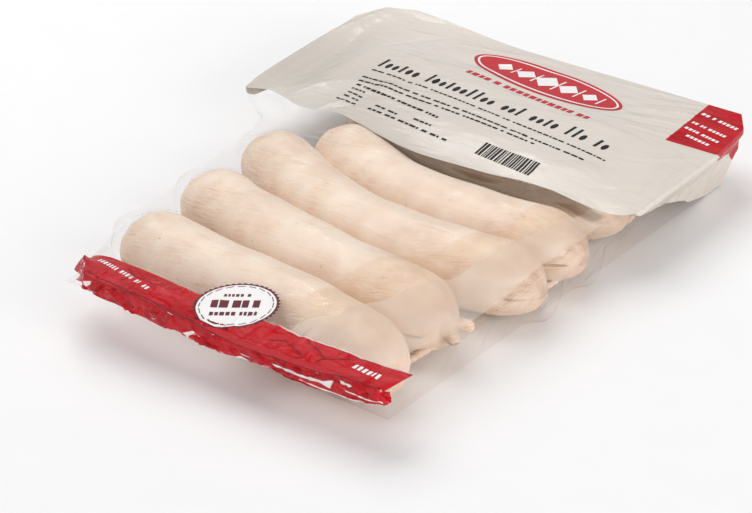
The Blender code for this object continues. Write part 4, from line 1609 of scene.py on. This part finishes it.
# Painted shade: the white is greyer towards the window and the left.
painted_shade_side = add_node(
    film, "MapRange",
    {"Value": across_header, "From Min": UNSHADED_FROM * MM, "From Max": SHADED_FROM * MM},
    interpolation_type="SMOOTHSTEP")
shaded_white_ink = add_node(
    film, "Mix", {"Factor": painted_shade_side, "A": clouded_ink, "B": linear("CFC6BB")}, data_type="RGBA")
white_gloss = add_node(
    film, "BsdfPrincipled",
    {"Base Color": shaded_white_ink, "Normal": film_bump, "Roughness": 0.24, "IOR": 1.4})
print("ink clouds, millimetres:", INK_CLOUD)

# %% [markdown]
# The red print is denser. Each facet leans its own way to the light, and this is painted: its cell's
# random colour gives some facets painted shade and a few a painted highlight. Over a link the band is
# drawn smooth, and a painted sheen makes it paler.

# %% Make the red print
deep_red = add_node(
    film, "Mix", {"Factor": ink_noise, "A": linear("CB0C1C"), "B": linear("B40816")}, data_type="RGBA")
# Painted sheen: the band is paler over a link.
painted_sheen = add_node(film, "Math", {0: over_link, 1: 0.8}, operation="MULTIPLY")
# Painted shade and highlights: some facets darker, a few lighter.
facet_tone = add_node(film, "SeparateColor", {"Color": facets.outputs["Color"]})
shaded_facet = add_node(
    film, "MapRange",
    {"Value": facet_tone.outputs["Red"], "From Min": 0.55, "From Max": 0.75, "To Max": 0.26})
lit_facet = add_node(
    film, "MapRange",
    {"Value": facet_tone.outputs["Green"], "From Min": 0.72, "From Max": 0.8, "To Max": 0.16})
shaded_red = add_node(
    film, "Mix", {"Factor": shaded_facet, "A": deep_red, "B": linear("8C0612")}, data_type="RGBA")
facet_red = add_node(
    film, "Mix", {"Factor": lit_facet, "A": shaded_red, "B": linear("D8404A")}, data_type="RGBA")
red_ink = add_node(
    film, "Mix", {"Factor": painted_sheen, "A": facet_red, "B": linear("D83E46")}, data_type="RGBA")
red_gloss = add_node(
    film, "BsdfPrincipled",
    {"Base Color": red_ink, "Normal": film_bump, "Roughness": 0.24, "IOR": 1.2})
print("red print ready")

# %% [markdown]
# Ink lets a little of what is under it through: 7% where it is white, and about 1% where it is
# red. It covers the clear film wherever either colour is printed.

# %% Put the film together
WHITE_DENSITY, RED_DENSITY = 0.93, 0.988
ink_shader = add_node(film, "MixShader", {0: red_mask, 1: white_gloss, 2: red_gloss})
density = add_node(
    film, "MapRange", {"Value": red_mask, "To Min": WHITE_DENSITY, "To Max": RED_DENSITY})
plain_gap = add_node(film, "BsdfTransparent")
printed = add_node(film, "MixShader", {0: density, 1: plain_gap, 2: ink_shader})
any_print = add_node(film, "Math", {0: white_mask, 1: red_mask}, operation="MAXIMUM")
film_surface = add_node(film, "MixShader", {0: any_print, 1: gap_shaded_film, 2: printed})
add_node(film, "OutputMaterial", {"Surface": film_surface})
give(film_bag, film)
print("finish:", film.name)

# %% [markdown]
# ## The seal's finish
# The seal is the same film, two layers welded together and printed red. The weld has crumpled it
# into facets of about 6 mm, of which some are painted darker as painted shade, with finer crinkles
# between them.

# %% Start the seal with its crumpled red
INK_WEAR = 8.33
SEAL_CRINKLE, SEAL_CRINKLE_DEPTH = 6.25, 0.6
SEAL_FACET = 5.88
seal = new_finish("welded_red_film")
place = add_node(seal, "TexCoord").outputs["Object"]
wear = add_node(seal, "TexNoise", {"Vector": place, "Scale": scale_of(INK_WEAR), "Detail": 2.0})
red_ink = add_node(
    seal, "Mix", {"Factor": wear, "A": linear("D20E1E"), "B": linear("B80A18")}, data_type="RGBA")
crinkle = add_node(
    seal, "TexNoise", {"Vector": place, "Scale": scale_of(SEAL_CRINKLE), "Detail": 3.0})
soft_bump = add_node(
    seal, "Bump", {"Height": crinkle, "Strength": 0.5, "Distance": SEAL_CRINKLE_DEPTH * MM})
facets = add_node(seal, "TexVoronoi", {"Vector": place, "Scale": scale_of(SEAL_FACET)})
facet_tone = add_node(seal, "SeparateColor", {"Color": facets.outputs["Color"]})
# Painted shade: some facets darker.
shaded_facet = add_node(
    seal, "MapRange",
    {"Value": facet_tone.outputs["Red"], "From Min": 0.5, "From Max": 0.7, "To Max": 0.4})
facet_red = add_node(
    seal, "Mix", {"Factor": shaded_facet, "A": red_ink, "B": linear("8A0510")}, data_type="RGBA")
print("seal facets, millimetres:", SEAL_FACET)

# %% [markdown]
# Small glints on the strip's folds are painted as pale pink marks, painted highlights. The marks are
# cells of a finer Voronoi pattern, about 2 mm wide and drawn out along the strip. Only one cell
# in forty gets a mark, the ones with the highest random value.

# %% Paint small glints on the strip
GLINT_MARK = 1.786
GLINT_DRAWN = (0.35, 1.0, 1.6)
GLINT_RARE = 0.972
# Painted highlights: rare pale pink glints drawn out along the strip.
drawn_place = add_node(seal, "Mapping", {"Vector": place, "Scale": GLINT_DRAWN})
glint = add_node(seal, "TexVoronoi", {"Vector": drawn_place, "Scale": scale_of(GLINT_MARK)})
glint_tone = add_node(seal, "SeparateColor", {"Color": glint.outputs["Color"]})
glint_marks = add_node(
    seal, "MapRange",
    {"Value": glint_tone.outputs["Blue"], "From Min": GLINT_RARE, "From Max": GLINT_RARE + 0.008,
     "To Max": 0.65})
glinted_red = add_node(
    seal, "Mix", {"Factor": glint_marks, "A": facet_red, "B": linear("F3C9CC")}, data_type="RGBA")
print("stress marks, millimetres:", GLINT_MARK)

# %% [markdown]
# Above the seam the strip is still even, paler band, and the seam's groove is a thin dark line of
# painted shade. The white slivers are the film's bare white back where an edge or a corner is turned
# over, and painted highlights along the folds.

# %% Paint the seam's shade and the white slivers
below_seam = add_node(seal, "Attribute", attribute_name="below_seam").outputs["Fac"]
above_seam = add_node(seal, "MapRange", {"Value": below_seam, "From Min": 0.1, "From Max": -0.3})
band_red = add_node(
    seal, "Mix", {"Factor": above_seam, "A": glinted_red, "B": linear("CB2832")}, data_type="RGBA")
# Painted shade: a thin dark line in the seam's groove.
off_seam = add_node(seal, "Math", {0: below_seam}, operation="ABSOLUTE")
seam_shade_line = add_node(
    seal, "MapRange", {"Value": off_seam, "From Min": 0.45, "From Max": 0.2, "To Max": 0.7})
seam_shaded_red = add_node(
    seal, "Mix", {"Factor": seam_shade_line, "A": band_red, "B": linear("5E0812")}, data_type="RGBA")
# White slivers: turned-over white back, and painted highlights.
turned_and_glint_distance = add_node(seal, "Attribute", attribute_name="turned_corner_and_glint").outputs["Fac"]
turned_and_glint_mask = add_node(seal, "MapRange", {"Value": turned_and_glint_distance, "From Min": -0.15, "From Max": 0.15})
strip_colour = add_node(
    seal, "Mix", {"Factor": turned_and_glint_mask, "A": seam_shaded_red, "B": linear("F3EDEA")}, data_type="RGBA")
print("seam drawn")

# %% [markdown]
# Film has a sharp gloss, which the facets and crinkles break up into many small lights.

# %% Put the seal together
SEAL_FACET_DEPTH = 1.4
strip_bump = add_node(
    seal, "Bump",
    {"Height": facets, "Strength": 0.7, "Distance": SEAL_FACET_DEPTH * MM, "Normal": soft_bump})
strip_shader = add_node(
    seal, "BsdfPrincipled",
    {"Base Color": strip_colour, "Normal": strip_bump, "Roughness": 0.16, "IOR": 1.36})
add_node(seal, "OutputMaterial", {"Surface": strip_shader})
give(seal_strip, seal)
print("finish:", seal.name)

# %% [markdown]
# ## The inks
# The small print is ink on glossy film: flat colour with a slight change in its density, which
# shows as a fine grain of about a millimetre. One function makes each ink, since only their
# colours differ.

# %% Make the inks
INK_GRAIN = 1.11


def make_ink(name, dark, light):
    finish = new_finish(name)
    place = add_node(finish, "TexCoord").outputs["Object"]
    grain = add_node(finish, "TexNoise", {"Vector": place, "Scale": scale_of(INK_GRAIN), "Detail": 1.0})
    colour = add_node(
        finish, "Mix", {"Factor": grain, "A": linear(dark), "B": linear(light)}, data_type="RGBA")
    shader = add_node(finish, "BsdfPrincipled", {"Roughness": 0.45, "IOR": 1.3, "Base Color": colour})
    add_node(finish, "OutputMaterial", {"Surface": shader})
    return finish


INKS = (
    ("black_ink", "0E0D0D", "1C1A19", (black_title, black_rows, stripe_block)),
    ("red_ink", "BE2A31", "C8353B", (emblem_red, emblem_middle, emblem_row)),
    ("light_ink", "F0EBE8", "F8F5F3", (emblem_line, emblem_lozenges, badge_disc, light_marks)),
    ("dark_red_ink", "580A15", "660E18", (badge_rim, badge_marks, band_lines_and_fold_shade)),
)
for name, dark, light, pieces in INKS:
    ink = make_ink(name, dark, light)
    for piece in pieces:
        give(piece, ink)
print("inks:", len(INKS))

# %% [markdown]
# ## The stage
# The pack lies on plain pale paper, which has a faint cloud in its tone. The floor is a little
# below the pack, so that the two never share a face.

# %% Lay the floor
FLOOR_SIZE = 6.0
FLOOR_GAP = 0.6
PAPER_CLOUD = 33.3
clear_selection()
bpy.ops.mesh.primitive_plane_add(size=FLOOR_SIZE, location=(0, 0, -FLOOR_GAP * MM))
floor = name_new("floor")
settle(floor)
floor_finish = new_finish("pale_paper_floor")
place = add_node(floor_finish, "TexCoord").outputs["Object"]
paper = add_node(floor_finish, "TexNoise", {"Vector": place, "Scale": scale_of(PAPER_CLOUD)})
floor_colour = add_node(
    floor_finish, "Mix", {"Factor": paper, "A": linear("FBFAF9"), "B": linear("F8F7F6")},
    data_type="RGBA")
floor_shader = add_node(floor_finish, "BsdfPrincipled", {"Roughness": 0.9, "Base Color": floor_colour})
add_node(floor_finish, "OutputMaterial", {"Surface": floor_shader})
give(floor, floor_finish)
print("floor, metres:", FLOOR_SIZE)

# %% [markdown]
# The main light is large and soft and stands overhead, a little to the left, like a window. A
# weaker one behind the pack gives the film its broad sheen, and a small one its glints. A fill
# from the right brightens the links' right ends and the clear wall, and a weak one from the
# front brightens the seal. A pale surround lights the shadows.

# %% Light the pack
LIGHTS = (
    ("window_light", (-0.8, 0.25, 1.7), 1.6, 20.5),
    ("back_light", (-1.25, 1.85, 1.3), 1.2, 1.6),
    ("glint_light", (-0.9, 1.0, 1.5), 0.2, 1.2),
    ("right_fill", (2.0, -0.6, 0.7), 1.4, 24.0),
    ("front_fill", (-0.7, -2.0, 0.6), 1.4, 4.5),
)
SURROUND_STRENGTH = 0.45


def add_soft_light(name, place, size, power):
    """A square light at a place, in metres and watts, turned towards the pack."""
    clear_selection()
    bpy.ops.object.light_add(type="AREA", location=place)
    light = bpy.context.object
    light.name = name
    light.data.size = size
    light.data.energy = power
    light.rotation_euler = (-Vector(place)).to_track_quat("-Z", "Y").to_euler()


for light_facts in LIGHTS:
    add_soft_light(*light_facts)
surround = bpy.data.worlds.new("pale_surround")
surround.use_nodes = True
background = surround.node_tree.nodes["Background"]
background.inputs["Color"].default_value = linear("F4F6FA")
background.inputs["Strength"].default_value = SURROUND_STRENGTH
bpy.context.scene.world = surround
bpy.context.scene.view_settings.view_transform = "Standard"
print("lights:", len(LIGHTS))

# %% [markdown]
# ## Putting it together
# Everything rides on the pack's one body. The bag takes the place of the imported solid, which is
# hidden.

# %% Attach the pieces and finish
CASING_PIECES = (string_of_links, casing_twists, casing_nubs)
RED_PIECES = (seal_strip, emblem_red, emblem_middle, emblem_row, badge_rim, badge_marks, band_lines_and_fold_shade)
WHITE_PIECES = (
    black_title, black_rows, stripe_block, emblem_line, emblem_lozenges, badge_disc, light_marks,
)
for piece in (film_bag, *CASING_PIECES, *RED_PIECES, *WHITE_PIECES):
    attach(piece, BODY)
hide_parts(PACK_NODE)
